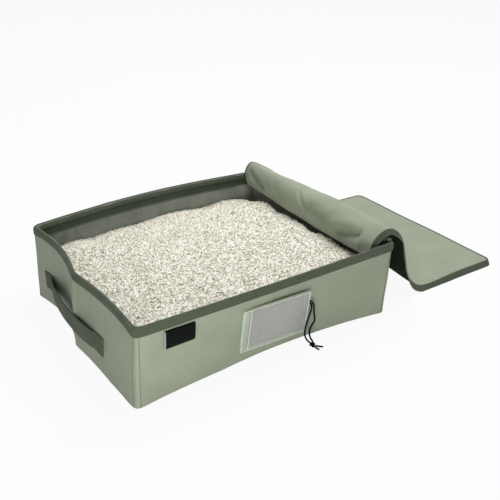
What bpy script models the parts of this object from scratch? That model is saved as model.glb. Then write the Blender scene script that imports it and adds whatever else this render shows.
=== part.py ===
"""A portable fabric litter box, unzipped, with its lid folded over to the right and filled with litter.

Metres, +Z up. The origin is the middle of the tray's underside. +X runs along the long side towards
the lid's seam, and -Y is the front, which carries the pocket.
"""
from math import cos, exp, pi, radians, sin, sqrt

import bmesh
import bpy
from mathutils import Vector

# The tray
TRAY_LENGTH = 0.458
TRAY_WIDTH = 0.384
TRAY_HEIGHT = 0.130
WALL_FLARE = 0.0055
RIM_LEAN = 0.007
CLEARANCE = 0.0003

# How far the soft walls stand in or out of straight lines
FRONT_BASE_TUCK = 0.015
BACK_BASE_BULGE = 0.006
BACK_RIM_BULGE = 0.022
LEFT_RIDGE = 0.0065
LEFT_BASE_FRONT_SAG = 0.003
LEFT_BASE_BACK_SAG = 0.014
LEFT_RIM_FRONT_SAG = 0.006
LEFT_RIM_BACK_SAG = 0.011
RIGHT_BASE_BULGE = 0.004

# Thicknesses of the layers, from the outside in
FABRIC = 0.0012
BOARD = 0.0020
BASE_BOARD = 0.0030
LINER = 0.0010

# The boards inside the walls
BOARD_END_GAP = 0.012
BOARD_CREASE_GAP = 0.005
BOARD_TOP_DROP = 0.018

# The binding round the rim
BINDING = 0.0012
BINDING_OUTSIDE = 0.016
BINDING_INSIDE = 0.010

# The zip on the tray
ZIP_STOP = 0.046
ZIP_TAPE = 0.0008
ZIP_TAPE_DROP = 0.012
ZIP_TAPE_SLANT = 0.0045
COIL = 0.0022
SLIDER_LENGTH = 0.013
SLIDER_WALL = 0.0009
SLIDER_SLOT = 0.0026
LUG_WIDTH = 0.0020
LUG_WALL = 0.0009
PIN = 0.0012
PULL_LENGTH = 0.019
PULL_WIDTH = 0.007
PULL = 0.0012
PULL_ARM = 0.0012

# The lid: cloth in straight stretches from its seam on the right rim
LID = 0.0024
LID_HEM = 0.0044
LID_HEM_SIDE_GAP = 0.002
LID_INNER_SIDE_GAP = 0.005
LID_SAG_LENGTH = 0.034
LID_RISE_LENGTH = 0.022
LID_ROLL_LENGTH = 0.0213
LID_TOP_LENGTH = 0.031
LID_SHOULDER_LENGTH = 0.036
LID_FOOT_LENGTH = 0.0474
LID_DIRECTIONS_DEG = (225, 93, 43, -4, -36, -71, -42, 0)
MAT_HEIGHT = 0.0095
LID_TAPE = 0.0010
LID_TAPE_WIDTH = 0.0085
LID_TAPE_SPLAY = 0.0050
LID_FRONT_REACH = 0.186
LID_BACK_REACH = 0.198

# The carrying handles
STRAP = 0.0018
STRAP_WIDTH = 0.030
STRAP_TOP = 0.064
STRAP_SPAN_SHARE = 0.516
STRAP_RISE = 0.002
STRAP_STANDOFF = 0.013
TAB_LENGTH = 0.026
STRAP_SEAM_GAP = 0.0008
HANDLE_OFFSET_SHARE = 0.108

# The folded label under the front binding
LABEL = 0.0008
LABEL_LENGTH = 0.046
LABEL_DROP = 0.028
LABEL_CORNER_DISTANCE = 0.042

# The pocket on the front, with a pouch inside
POCKET_LENGTH = 0.116
POCKET_HEIGHT = 0.079
POCKET_BOTTOM = 0.022
POCKET_LEFT = -0.052
POCKET_OPENING = 0.0045
POCKET_DEPTH = 0.0040
POCKET_SIDE_BORDER = 0.010
POCKET_EDGE_BORDER = 0.004
WINDOW = 0.0006
POUCH = 0.0030
POUCH_LENGTH = 0.098
POUCH_CHANNEL = 0.009
POUCH_SIDE_GAP = 0.001

# The pouch's drawstring
CORD = 0.0024
KNOT = 0.0080
KNOT_HEIGHT_SHARE = 0.9

# The litter. A heap is its place in shares of the tray's length and width, how wide it is and how high
LITTER_BELOW_PULL = 0.0073
LITTER_MOUND = 0.015
LITTER_RINGS = (0.98, 0.91, 0.81, 0.69, 0.55, 0.39, 0.2)
LITTER_HEAPS = ((0.43, 0.27, 0.050, 0.012), (0.43, 0.03, 0.050, 0.011), (0.43, -0.20, 0.050, 0.011),
                (0.43, -0.36, 0.030, 0.006), (0.34, 0.46, 0.030, 0.004), (0.08, 0.47, 0.040, 0.005),
                (-0.34, 0.45, 0.025, 0.005), (-0.27, 0.44, 0.020, -0.005), (-0.36, -0.28, 0.040, 0.004))

WALL_STEPS = 16
HEIGHT_STEPS = 4
SIDES = ("front", "right", "back", "left")

fabric_top = TRAY_HEIGHT - BINDING - CLEARANCE
board_depth = FABRIC + CLEARANCE
liner_depth = board_depth + BOARD + CLEARANCE
liner_inside = liner_depth + LINER
binding_inside = liner_inside + CLEARANCE
rim_inside = binding_inside + BINDING
base_board_bottom = FABRIC + CLEARANCE
liner_bottom = base_board_bottom + BASE_BOARD + CLEARANCE
floor_top = liner_bottom + LINER
tape_top = TRAY_HEIGHT - BINDING_INSIDE - CLEARANCE
tape_bottom = tape_top - ZIP_TAPE_DROP
coil_height = tape_bottom - CLEARANCE - COIL / 2
coil_depth = binding_inside + ZIP_TAPE_SLANT + ZIP_TAPE / 2
litter_top = coil_height - PULL_LENGTH - LITTER_BELOW_PULL
zip_share = 1 - ZIP_STOP / TRAY_LENGTH
# The front leans out just enough to keep the zip straight, so that its slider can run
front_rim_bulge = FRONT_BASE_TUCK * (TRAY_HEIGHT - coil_height) / coil_height

for item in list(bpy.data.objects):
    bpy.data.objects.remove(item, do_unlink=True)


def material(name, colour, roughness):
    """The material with this name, made the first time."""
    found = bpy.data.materials.get(name)
    if found:
        return found
    made = bpy.data.materials.new(name)
    made.use_nodes = True
    shader = made.node_tree.nodes["Principled BSDF"]
    shader.inputs["Base Color"].default_value = (*colour, 1)
    shader.inputs["Roughness"].default_value = roughness
    return made


def sage():
    return material("sage_fabric", (0.30, 0.35, 0.27), 0.85)


def olive():
    return material("olive_webbing", (0.085, 0.105, 0.06), 0.8)


def liner_coating():
    return material("liner_coating", (0.16, 0.19, 0.15), 0.5)


def stiff_board():
    return material("stiff_board", (0.75, 0.75, 0.72), 0.5)


def black_cord():
    return material("black_cord", (0.012, 0.012, 0.011), 0.6)


def dark_metal():
    made = material("dark_metal", (0.06, 0.07, 0.055), 0.4)
    made.node_tree.nodes["Principled BSDF"].inputs["Metallic"].default_value = 1
    return made


def pale_trim():
    return material("pale_trim", (0.50, 0.57, 0.42), 0.8)


def clear_film():
    made = material("clear_film", (0.55, 0.56, 0.54), 0.2)
    made.node_tree.nodes["Principled BSDF"].inputs["Alpha"].default_value = 0.35
    return made


def grey_pouch():
    return material("grey_pouch", (0.30, 0.29, 0.28), 0.8)


def litter_grains():
    return material("litter_grains", (0.80, 0.76, 0.66), 0.95)


def add_object(name, mesh, finish):
    """An object with one material, linked to the scene."""
    made = bpy.data.objects.new(name, mesh)
    mesh.materials.append(finish)
    bpy.context.collection.objects.link(made)
    return made


def from_faces(name, points, faces, finish):
    """A closed solid from points and faces, its faces split into triangles that point out."""
    mesh = bpy.data.meshes.new(name)
    build = bmesh.new()
    corners = [build.verts.new(point) for point in points]
    for face in faces:
        build.faces.new([corners[index] for index in face])
    bmesh.ops.recalc_face_normals(build, faces=build.faces)
    bmesh.ops.triangulate(build, faces=build.faces, ngon_method="EAR_CLIP")
    build.to_mesh(mesh)
    build.free()
    return add_object(name, mesh, finish)


def loft(name, rings, finish, closed=False):
    """A solid through rings of points. The diagonals of its faces all run alike along the walls,
    rising with the stations, so that layers with a small gap between them never cross."""
    count = len(rings[0])
    points = [point for ring in rings for point in ring]
    faces = []
    last = len(rings) if closed else len(rings) - 1
    for row in range(last):
        after = (row + 1) % len(rings)
        for column in range(count):
            beside = (column + 1) % count
            a = row * count + column
            b = after * count + column
            c = after * count + beside
            d = row * count + beside
            if points[b][2] + points[d][2] >= 2 * points[a][2]:
                faces += [(a, b, c), (a, c, d)]
            else:
                faces += [(a, b, d), (b, c, d)]
    if not closed:
        faces.append(tuple(range(count - 1, -1, -1)))
        faces.append(tuple(range(len(points) - count, len(points))))
    return from_faces(name, points, faces, finish)


def arc(share, amount):
    """A stretch of wall that bows by amount at its middle."""
    return amount * sin(pi * share)


def bow(side, share, rise):
    """How far a side stands out of its straight line, at shares of its length and of the height."""
    if side == "front":
        return arc(share, front_rim_bulge * rise - FRONT_BASE_TUCK * (1 - rise))
    if side == "back":
        return arc(share, BACK_RIM_BULGE * rise + BACK_BASE_BULGE * (1 - rise))
    if side == "right":
        return arc(share, RIGHT_BASE_BULGE * (1 - rise))
    along = 2 * (1 - share)
    if along <= 1:
        sag = LEFT_RIM_FRONT_SAG * rise + LEFT_BASE_FRONT_SAG * (1 - rise)
        return LEFT_RIDGE * along - arc(along, sag)
    sag = LEFT_RIM_BACK_SAG * rise + LEFT_BASE_BACK_SAG * (1 - rise)
    return LEFT_RIDGE * (2 - along) - arc(along - 1, sag)


def wall_point(side, share, height, depth):
    """A point in a wall: share runs anticlockwise along the side, depth in from the outer face."""
    rise = height / TRAY_HEIGHT
    inset = BINDING + CLEARANCE + WALL_FLARE * (1 - rise) + depth
    half_x = TRAY_LENGTH / 2 - inset
    half_y = TRAY_WIDTH / 2 - inset
    across = 2 * share - 1
    out = bow(side, share, rise)
    lean = RIM_LEAN * rise
    if side == "front":
        return Vector((lean + half_x * across, -half_y - out, height))
    if side == "right":
        return Vector((lean + half_x + out, half_y * across, height))
    if side == "back":
        return Vector((lean - half_x * across, half_y + out, height))
    return Vector((lean - half_x - out, -half_y * across, height))


def side_length(side):
    return TRAY_LENGTH if side in ("front", "back") else TRAY_WIDTH


def stations(side, start, end):
    """Shares along one side from start to end, at the same marks for every layer."""
    marks = [step / WALL_STEPS for step in range(1, WALL_STEPS)]
    return [(side, share) for share in [start, *(m for m in marks if start < m < end), end]]


def all_round():
    return [(side, step / WALL_STEPS) for side in SIDES for step in range(WALL_STEPS)]


def levels(low, high):
    """Heights from low to high, at the same marks for every layer."""
    marks = [TRAY_HEIGHT * step / HEIGHT_STEPS for step in range(1, HEIGHT_STEPS)]
    return [low, *(mark for mark in marks if low < mark < high), high]


def slab(outer, inner, low, high):
    """The section of a flat layer, as (depth, height) pairs."""
    heights = levels(low, high)
    return [(outer, height) for height in heights] + [(inner, height) for height in reversed(heights)]


def sweep(name, places, section, finish, closed=False):
    """A solid whose section follows the walls through the stations in places."""
    rings = [[wall_point(side, share, height, depth) for depth, height in section]
             for side, share in places]
    return loft(name, rings, finish, closed)


def stack(name, places, heights, finish):
    """A solid of level rings round the stations in places, at (depth, height) pairs."""
    rings = [[wall_point(side, share, height, depth) for side, share in places]
             for depth, height in heights]
    return loft(name, rings, finish)


def box(name, low, high, finish):
    """A plain block between two corners."""
    points = [(x, y, z) for x in (low[0], high[0]) for y in (low[1], high[1]) for z in (low[2], high[2])]
    faces = [(0, 1, 3, 2), (4, 6, 7, 5), (0, 4, 5, 1), (2, 3, 7, 6), (0, 2, 6, 4), (1, 5, 7, 3)]
    return from_faces(name, points, faces, finish)


def extrude(name, outline, start, end, finish):
    """A solid from an outline in X and Z, drawn out from Y start to Y end."""
    rings = [[(x, y, z) for x, z in outline] for y in (start, end)]
    return loft(name, rings, finish)


def make_shell():
    """The fabric outside, the boards in it, and the waterproof liner."""
    for side in SIDES:
        trim_share = CLEARANCE / side_length(side)
        places = stations(side, trim_share, 1 - trim_share)
        sweep(f"outer_{side}", places, slab(0, FABRIC, 0, fabric_top), sage())
        end_share = BOARD_END_GAP / side_length(side)
        crease_share = BOARD_CREASE_GAP / side_length(side)
        section = slab(board_depth, board_depth + BOARD, base_board_bottom, TRAY_HEIGHT - BOARD_TOP_DROP)
        first = stations(side, end_share, (1 - crease_share) / 2)
        second = stations(side, (1 + crease_share) / 2, 1 - end_share)
        sweep(f"{side}_board_a", first, section, stiff_board())
        sweep(f"{side}_board_b", second, section, stiff_board())
    stack("outer_base", all_round(), [(board_depth, 0), (board_depth, FABRIC)], sage())
    crease_share = BOARD_CREASE_GAP / TRAY_LENGTH
    before_share = (1 - crease_share) / 2
    after_share = (1 + crease_share) / 2
    left = (stations("back", after_share, 1) + stations("left", 0, 1)[1:]
            + stations("front", 0, before_share)[1:])
    right = (stations("front", after_share, 1) + stations("right", 0, 1)[1:]
             + stations("back", 0, before_share)[1:])
    top = base_board_bottom + BASE_BOARD
    for half, places in (("left", left), ("right", right)):
        heights = [(liner_depth, base_board_bottom), (liner_depth, top)]
        stack(f"base_board_{half}", places, heights, stiff_board())
    rising = [(liner_inside, height) for height in levels(floor_top, fabric_top)]
    falling = [(liner_depth, height) for height in reversed(levels(liner_bottom, fabric_top))]
    stack("liner", all_round(), rising + falling, liner_coating())


def make_rim():
    """The binding folded over the rim, and the zip tape and coil sewn inside it."""
    outside = -CLEARANCE - BINDING
    top = TRAY_HEIGHT - BINDING
    section = [
        (outside, TRAY_HEIGHT - BINDING_OUTSIDE), (outside, TRAY_HEIGHT),
        (rim_inside, TRAY_HEIGHT), (rim_inside, TRAY_HEIGHT - BINDING_INSIDE),
        (binding_inside, TRAY_HEIGHT - BINDING_INSIDE), (binding_inside, top),
        (-CLEARANCE, top), (-CLEARANCE, TRAY_HEIGHT - BINDING_OUTSIDE),
    ]
    sweep("rim_binding", all_round(), section, olive(), closed=True)
    places = (stations("back", 1 - zip_share, 1) + stations("left", 0, 1)[1:]
              + stations("front", 0, zip_share)[1:])
    low_depth = binding_inside + ZIP_TAPE_SLANT
    section = [(binding_inside, tape_top), (binding_inside + ZIP_TAPE, tape_top),
               (low_depth + ZIP_TAPE, tape_bottom), (low_depth, tape_bottom)]
    sweep("box_zip_tape", places, section, olive())
    half = COIL / 2
    section = [(coil_depth - half, coil_height - half), (coil_depth - half, coil_height + half),
               (coil_depth + half, coil_height + half), (coil_depth + half, coil_height - half)]
    sweep("box_zip_coil", places, section, olive())


def cylinder_along_x(name, middle, radius, length, finish, sides=16):
    """A round bar along X."""
    turns = [2 * pi * step / sides for step in range(sides)]
    rings = [[(x, middle[1] + radius * cos(turn), middle[2] + radius * sin(turn)) for turn in turns]
             for x in (middle[0] - length / 2, middle[0] + length / 2)]
    return loft(name, rings, finish)


def cut(target, cutter, operation="DIFFERENCE"):
    """Cuts a piece with another, or joins the two, and removes the other."""
    step = target.modifiers.new(operation.lower(), "BOOLEAN")
    step.operation = operation
    step.object = cutter
    bpy.context.view_layer.objects.active = target
    bpy.ops.object.modifier_apply(modifier=step.name)
    bpy.data.objects.remove(cutter, do_unlink=True)


def make_slider():
    """The zip's slider round the coil, and its pull on a pin through the slider's lug. The pull's plate
    starts below the lug's corners, so that it can swing all the way over."""
    coil = wall_point("front", zip_share, coil_height, coil_depth)
    middle_x = coil.x - SLIDER_LENGTH / 2
    cavity = COIL / 2 + CLEARANCE
    outer = cavity + SLIDER_WALL
    slot = SLIDER_SLOT / 2
    section = [(slot, outer), (outer, outer), (outer, -outer), (-outer, -outer), (-outer, outer),
               (-slot, outer), (-slot, cavity), (-cavity, cavity), (-cavity, -cavity),
               (cavity, -cavity), (cavity, cavity), (slot, cavity)]
    ends = (middle_x - SLIDER_LENGTH / 2, middle_x + SLIDER_LENGTH / 2)
    rings = [[(x, coil.y + y, coil.z + z) for y, z in section] for x in ends]
    slider = loft("zip_slider", rings, dark_metal())
    hole = PIN / 2 + CLEARANCE
    reach = hole + LUG_WALL
    pin = (middle_x, coil.y + outer + reach, coil.z)
    overlap = SLIDER_WALL / 2
    lug = box("lug", (pin[0] - LUG_WIDTH / 2, pin[1] - reach - overlap, pin[2] - reach),
              (pin[0] + LUG_WIDTH / 2, pin[1] + reach, pin[2] + reach), dark_metal())
    cut(slider, lug, "UNION")
    cut(slider, cylinder_along_x("hole", pin, hole, 2 * LUG_WIDTH, dark_metal()))
    arm_start = LUG_WIDTH / 2 + CLEARANCE
    arm_end = arm_start + PULL_ARM
    plate_top = pin[2] - reach * sqrt(2) - CLEARANCE
    pull = box("zip_pull", (pin[0] - PULL_WIDTH / 2, pin[1] - PULL / 2, pin[2] - PULL_LENGTH),
               (pin[0] + PULL_WIDTH / 2, pin[1] + PULL / 2, plate_top), dark_metal())
    for side in (-1, 1):
        near, far = sorted((pin[0] + side * arm_start, pin[0] + side * arm_end))
        arm = box("arm", (near, pin[1] - PIN / 2 - CLEARANCE, plate_top - PULL),
                  (far, pin[1] + PIN / 2 + CLEARANCE, pin[2] + PIN / 2 + CLEARANCE), dark_metal())
        cut(pull, arm, "UNION")
    bar = cylinder_along_x("bar", pin, PIN / 2, 2 * arm_start + PULL_ARM, dark_metal())
    cut(pull, bar, "UNION")


def lid_corners():
    """The lid's hinge lines as (x, z) pairs, from its seam to the far edge of the part on the floor."""
    seam = wall_point("right", 0, TRAY_HEIGHT, rim_inside)
    start = (seam.x, TRAY_HEIGHT + CLEARANCE + LID_HEM / 2)
    left_rim = wall_point("left", 1, TRAY_HEIGHT, -CLEARANCE - BINDING)
    whole = start[0] - left_rim.x - LID_TAPE_SPLAY - CLEARANCE
    lengths = [LID_SAG_LENGTH, LID_RISE_LENGTH, LID_ROLL_LENGTH, LID_TOP_LENGTH, LID_SHOULDER_LENGTH]
    rises = [length * sin(radians(turn)) for length, turn in zip(lengths, LID_DIRECTIONS_DEG)]
    drop_deg, foot_deg = LID_DIRECTIONS_DEG[len(lengths):len(lengths) + 2]
    still_to_fall = start[1] + sum(rises) + LID_FOOT_LENGTH * sin(radians(foot_deg)) - MAT_HEIGHT
    lengths += [still_to_fall / -sin(radians(drop_deg)), LID_FOOT_LENGTH]
    lengths.append(whole - sum(lengths))
    corners = [start]
    for length, turn in zip(lengths, LID_DIRECTIONS_DEG):
        x, z = corners[-1]
        corners.append((x + length * cos(radians(turn)), z + length * sin(radians(turn))))
    return corners


def start_gap(turn_deg):
    """How far a stretch of cloth keeps from its hinge line, so that it can fold back by turn_deg."""
    half = LID / 2
    if abs(turn_deg) <= 90:
        return half + CLEARANCE
    between = radians(180 - abs(turn_deg))
    return (half * (1 + cos(between)) + CLEARANCE) / sin(between)


def hem_gap(turn_deg):
    """The same, beside the square end of the hem."""
    turn = radians(abs(turn_deg))
    return (CLEARANCE + LID / 2 * sin(turn)) / cos(turn)


def stretch_outline(first, second, gap, thickness, rounded):
    """A straight stretch of cloth seen from the front: a square start and a rounded end."""
    along = (Vector(second) - Vector(first)).normalized()
    across = Vector((-along.y, along.x))
    half = thickness / 2
    begin = Vector(first) + along * gap
    end = Vector(second)
    outline = [begin + across * half, begin - across * half, end - across * half]
    if rounded:
        steps = 4
        for step in range(1, steps):
            turn = pi * step / steps
            outline.append(end - across * half * cos(turn) + along * half * sin(turn))
    outline.append(end + across * half)
    return [tuple(point) for point in outline]


def make_lid():
    """The lid: a hem on the right rim, then stretches of cloth with dark tape along their edges."""
    corners = lid_corners()
    half_hem = LID_HEM / 2
    outside = wall_point("right", 0, TRAY_HEIGHT, -CLEARANCE - BINDING).x
    hem_reach = TRAY_WIDTH / 2 - LID_HEM_SIDE_GAP
    box("lid_hem", (corners[0][0], -hem_reach, corners[0][1] - half_hem),
        (outside, hem_reach, corners[0][1] + half_hem), sage())
    inner_front = wall_point("front", 1, corners[1][1], rim_inside + LID_INNER_SIDE_GAP).y
    inner_back = wall_point("back", 0, corners[1][1], rim_inside + LID_INNER_SIDE_GAP).y
    last = len(LID_DIRECTIONS_DEG) - 1
    before = 180
    for index, turn in enumerate(LID_DIRECTIONS_DEG):
        first, second = corners[index], corners[index + 1]
        gap = hem_gap(turn - before) if index == 0 else start_gap(turn - before)
        before = turn
        outline = stretch_outline(first, second, gap, LID, index < last)
        if index < 2:
            extrude(f"lid_panel_{index + 1}", outline, inner_front, inner_back, sage())
            continue
        near = -LID_FRONT_REACH + LID_TAPE_WIDTH
        far = LID_BACK_REACH - LID_TAPE_WIDTH
        extrude(f"lid_panel_{index + 1}", outline, near, far, sage())
        edge = stretch_outline(first, second, gap, LID_TAPE, index < last)
        if index < last:
            extrude(f"lid_tape_{index + 1}_front", edge, -LID_FRONT_REACH, near - CLEARANCE, olive())
            extrude(f"lid_tape_{index + 1}_back", edge, far + CLEARANCE, LID_BACK_REACH, olive())
            continue
        make_mat_tape(f"lid_tape_{index + 1}", first[0] + gap, second, near, far)


def make_mat_tape(name, start_x, end, near, far):
    """The tape round the part of the lid on the floor: it splays down from the three free edges."""
    top = end[1] + LID / 2
    end_x = end[0] + CLEARANCE
    near_y, far_y = near - CLEARANCE, far + CLEARANCE
    turns = (((start_x, near_y), (0, -1)), ((end_x, near_y), (1, -1)),
             ((end_x, far_y), (1, 1)), ((start_x, far_y), (0, 1)))
    rings = []
    for (x, y), outward in turns:
        out = Vector((*outward, 0))
        upper = Vector((x, y, top))
        lower = Vector((x, y, 0)) + out * LID_TAPE_SPLAY
        rings.append([upper, upper + out * LID_TAPE, lower + out * LID_TAPE, lower])
    loft(name, rings, olive())


def strap_corner(side, share):
    """The strap's top edge where it leaves a tab, clear of the wall all the way down."""
    heights = (STRAP_TOP - STRAP_WIDTH, STRAP_TOP)
    beside = [wall_point(side, share, height, -STRAP_SEAM_GAP) for height in heights]
    farthest = max(beside, key=lambda point: abs(point.x))
    return Vector((farthest.x, farthest.y, STRAP_TOP))


def make_handle(side):
    """A webbing strap with a sewn tab at each end, standing off one end wall."""
    backwards = -1 if side == "left" else 1
    middle_share = 0.5 + backwards * HANDLE_OFFSET_SHARE
    first_share = middle_share - STRAP_SPAN_SHARE / 2
    last_share = middle_share + STRAP_SPAN_SHARE / 2
    tab_share = TAB_LENGTH / TRAY_WIDTH
    gap_share = STRAP_SEAM_GAP / TRAY_WIDTH
    section = slab(-CLEARANCE - STRAP, -CLEARANCE, STRAP_TOP - STRAP_WIDTH, STRAP_TOP)
    first = stations(side, first_share - tab_share, first_share)
    second = stations(side, last_share, last_share + tab_share)
    sweep(f"handle_{side}_tab_a", first, section, olive())
    sweep(f"handle_{side}_tab_b", second, section, olive())
    start = strap_corner(side, first_share + gap_share)
    end = strap_corner(side, last_share - gap_share)
    along = end - start
    out = Vector((along.y, -along.x, 0)).normalized()
    rings = []
    steps = 16
    for step in range(steps + 1):
        swell = sin(pi * step / steps)
        top = start + along * step / steps + out * STRAP_STANDOFF * swell ** 0.6
        top.z += STRAP_RISE * swell
        down = Vector((0, 0, -STRAP_WIDTH))
        rings.append([top, top + out * STRAP, top + out * STRAP + down, top + down])
    loft(f"handle_{side}_strap", rings, olive())


def make_label():
    """A folded label that hangs from under the front binding; its face is bare."""
    start_share = LABEL_CORNER_DISTANCE / TRAY_LENGTH
    places = stations("front", start_share, start_share + LABEL_LENGTH / TRAY_LENGTH)
    top = TRAY_HEIGHT - BINDING_OUTSIDE - CLEARANCE
    bottom = top - LABEL_DROP
    inner = -CLEARANCE
    section = [(inner, top), (inner, bottom), (inner - 3 * LABEL, bottom), (inner - 3 * LABEL, top),
               (inner - 2 * LABEL, top), (inner - 2 * LABEL, bottom + LABEL),
               (inner - LABEL, bottom + LABEL), (inner - LABEL, top)]
    sweep("side_label", places, section, black_cord())


def pocket_frame():
    """The pocket's corner, and its directions along, up and out, leaning with the wall behind it."""
    share = 0.5 + POCKET_LEFT / TRAY_LENGTH
    low = wall_point("front", share, POCKET_BOTTOM, -CLEARANCE)
    high = wall_point("front", share, POCKET_BOTTOM + POCKET_HEIGHT, -CLEARANCE)
    up = Vector((0, high.y - low.y, high.z - low.z)).normalized()
    along = Vector((POCKET_LENGTH, -POCKET_OPENING, 0))
    along = (along - up * along.dot(up)).normalized()
    return low, along, up, along.cross(up)


def pocket_block(name, frame, low, high, finish):
    """A block in the pocket's own directions, from low to high."""
    corner, along, up, out = frame
    points = [corner + along * u + up * v + out * w
              for u in (low[0], high[0]) for v in (low[1], high[1]) for w in (low[2], high[2])]
    faces = [(0, 1, 3, 2), (4, 6, 7, 5), (0, 4, 5, 1), (2, 3, 7, 6), (0, 2, 6, 4), (1, 5, 7, 3)]
    return from_faces(name, points, faces, finish)


def pocket_gusset(name, frame, start, low, high):
    """A strip between the wall and the window, along the pocket's top or bottom."""
    corner, along, up, out = frame
    rings = []
    steps = 6
    for step in range(steps + 1):
        u = start + (POCKET_LENGTH - start) * step / steps
        ring = []
        for v in (low, high):
            seat = corner + along * u + up * v
            front = seat + out * POCKET_DEPTH
            share = 0.5 + (seat.x - RIM_LEAN * seat.z / TRAY_HEIGHT) / TRAY_LENGTH
            back = wall_point("front", share, seat.z, -CLEARANCE)
            ring += [back, front] if v == low else [front, back]
        rings.append(ring)
    loft(name, rings, pale_trim())


def make_pocket():
    """A clear pocket on the front, open on its right, and the pouch that slides out of it."""
    frame = pocket_frame()
    side = POCKET_SIDE_BORDER
    edge = POCKET_EDGE_BORDER
    pocket_block("pocket_border_side", frame, (0, 0, 0), (side, POCKET_HEIGHT, POCKET_DEPTH), pale_trim())
    pocket_gusset("pocket_border_bottom", frame, side + CLEARANCE, 0, edge)
    pocket_gusset("pocket_border_top", frame, side + CLEARANCE, POCKET_HEIGHT - edge, POCKET_HEIGHT)
    front = POCKET_DEPTH + CLEARANCE
    pocket_block("pocket_window", frame, (0, 0, front),
                 (POCKET_LENGTH, POCKET_HEIGHT, front + WINDOW), clear_film())
    right = POCKET_LENGTH - CLEARANCE
    left = right - POUCH_LENGTH
    low = edge + POUCH_SIDE_GAP
    high = POCKET_HEIGHT - edge - POUCH_SIDE_GAP
    seat = POCKET_DEPTH - CLEARANCE - POUCH
    pocket_block("pouch_bag", frame, (left, low, seat),
                 (right - POUCH_CHANNEL - CLEARANCE, high, seat + POUCH), grey_pouch())
    pocket_block("pouch_channel", frame, (right - POUCH_CHANNEL, low, seat),
                 (right, high, seat + POUCH), grey_pouch())


def smooth_route(points, spacing):
    """Points every spacing along a smooth curve through the given ones."""
    path = [Vector(point) for point in points]
    ends = [2 * path[0] - path[1], *path, 2 * path[-1] - path[-2]]
    fine = []
    for index in range(1, len(ends) - 2):
        a, b, c, d = ends[index - 1:index + 3]
        for step in range(20):
            t = step / 20
            fine.append(0.5 * (2 * b + (c - a) * t + (2 * a - 5 * b + 4 * c - d) * t ** 2
                               + (3 * b - a - 3 * c + d) * t ** 3))
    fine.append(path[-1])
    length = sum((after - before).length for before, after in zip(fine, fine[1:]))
    count = max(2, round(length / spacing))
    route = [fine[0]]
    walked = 0
    for before, after in zip(fine, fine[1:]):
        walked += (after - before).length
        if walked >= length * len(route) / count and len(route) < count:
            route.append(after)
    route.append(fine[-1])
    return route


def make_cord(name, points):
    """A round cord along a smooth route."""
    curve = bpy.data.curves.new(name, "CURVE")
    curve.dimensions = "3D"
    curve.bevel_depth = CORD / 2
    curve.bevel_resolution = 2
    curve.use_fill_caps = True
    route = smooth_route(points, 2 * CORD)
    spline = curve.splines.new("POLY")
    spline.points.add(len(route) - 1)
    for target, point in zip(spline.points, route):
        target.co = (*point, 1)
    add_object(name, curve, black_cord())


# The drawstring's routes, chosen by hand: down from the pouch to a knot on the floor, and the two ends
STRAND_LEFT = ((0.0668, -0.1909, 0.0740), (0.0683, -0.1910, 0.0739), (0.0705, -0.1914, 0.0727),
               (0.0719, -0.1925, 0.0695), (0.0714, -0.1937, 0.0652), (0.0692, -0.1948, 0.0602),
               (0.0660, -0.1958, 0.0545), (0.0624, -0.1968, 0.0480), (0.0588, -0.1976, 0.0410),
               (0.0564, -0.1983, 0.0335), (0.0560, -0.1989, 0.0258), (0.0580, -0.1996, 0.0183),
               (0.0622, -0.2004, 0.0118), (0.0672, -0.2011, 0.0065))
STRAND_RIGHT = ((0.0668, -0.1916, 0.0780), (0.0685, -0.1917, 0.0779), (0.0714, -0.1926, 0.0766),
                (0.0734, -0.1946, 0.0730), (0.0739, -0.1962, 0.0678), (0.0735, -0.1970, 0.0615),
                (0.0738, -0.1976, 0.0550), (0.0748, -0.1980, 0.0490), (0.0744, -0.1981, 0.0438),
                (0.0714, -0.1981, 0.0392), (0.0676, -0.1982, 0.0348), (0.0654, -0.1985, 0.0290),
                (0.0652, -0.1989, 0.0222), (0.0667, -0.1996, 0.0160), (0.0692, -0.2004, 0.0114),
                (0.0707, -0.2010, 0.0078))
KNOT_PLACE = (0.0700, -0.2015, 0.0036)
TAIL_LEFT = ((0.0704, -0.2056, 0.0024), (0.0709, -0.2088, 0.0015), (0.0715, -0.2122, 0.0013),
             (0.0720, -0.2160, 0.0013))
TAIL_RIGHT = ((0.0731, -0.2043, 0.0024), (0.0757, -0.2067, 0.0015), (0.0788, -0.2097, 0.0013),
              (0.0820, -0.2130, 0.0013))


def make_drawstring():
    """Two strands from the pouch to a knot on the floor, and the cord's two short ends."""
    make_cord("drawstring_left", STRAND_LEFT)
    make_cord("drawstring_right", STRAND_RIGHT)
    make_cord("drawstring_end_left", TAIL_LEFT)
    make_cord("drawstring_end_right", TAIL_RIGHT)
    mesh = bpy.data.meshes.new("drawstring_knot")
    build = bmesh.new()
    bmesh.ops.create_icosphere(build, subdivisions=2, radius=KNOT / 2)
    bmesh.ops.scale(build, vec=(1, 1, KNOT_HEIGHT_SHARE), verts=build.verts)
    bmesh.ops.translate(build, vec=KNOT_PLACE, verts=build.verts)
    build.to_mesh(mesh)
    build.free()
    add_object("drawstring_knot", mesh, black_cord())


def litter_lift(point, share):
    """How far the litter's surface stands above its edge: the mound, and the heaps on it."""
    lift = LITTER_MOUND * (1 - share ** 3)
    for along, across, width, height in LITTER_HEAPS:
        away = (point.x - along * TRAY_LENGTH) ** 2 + (point.y - across * TRAY_WIDTH) ** 2
        lift += height * exp(-away / width ** 2)
    return Vector((0, 0, lift))


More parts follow.
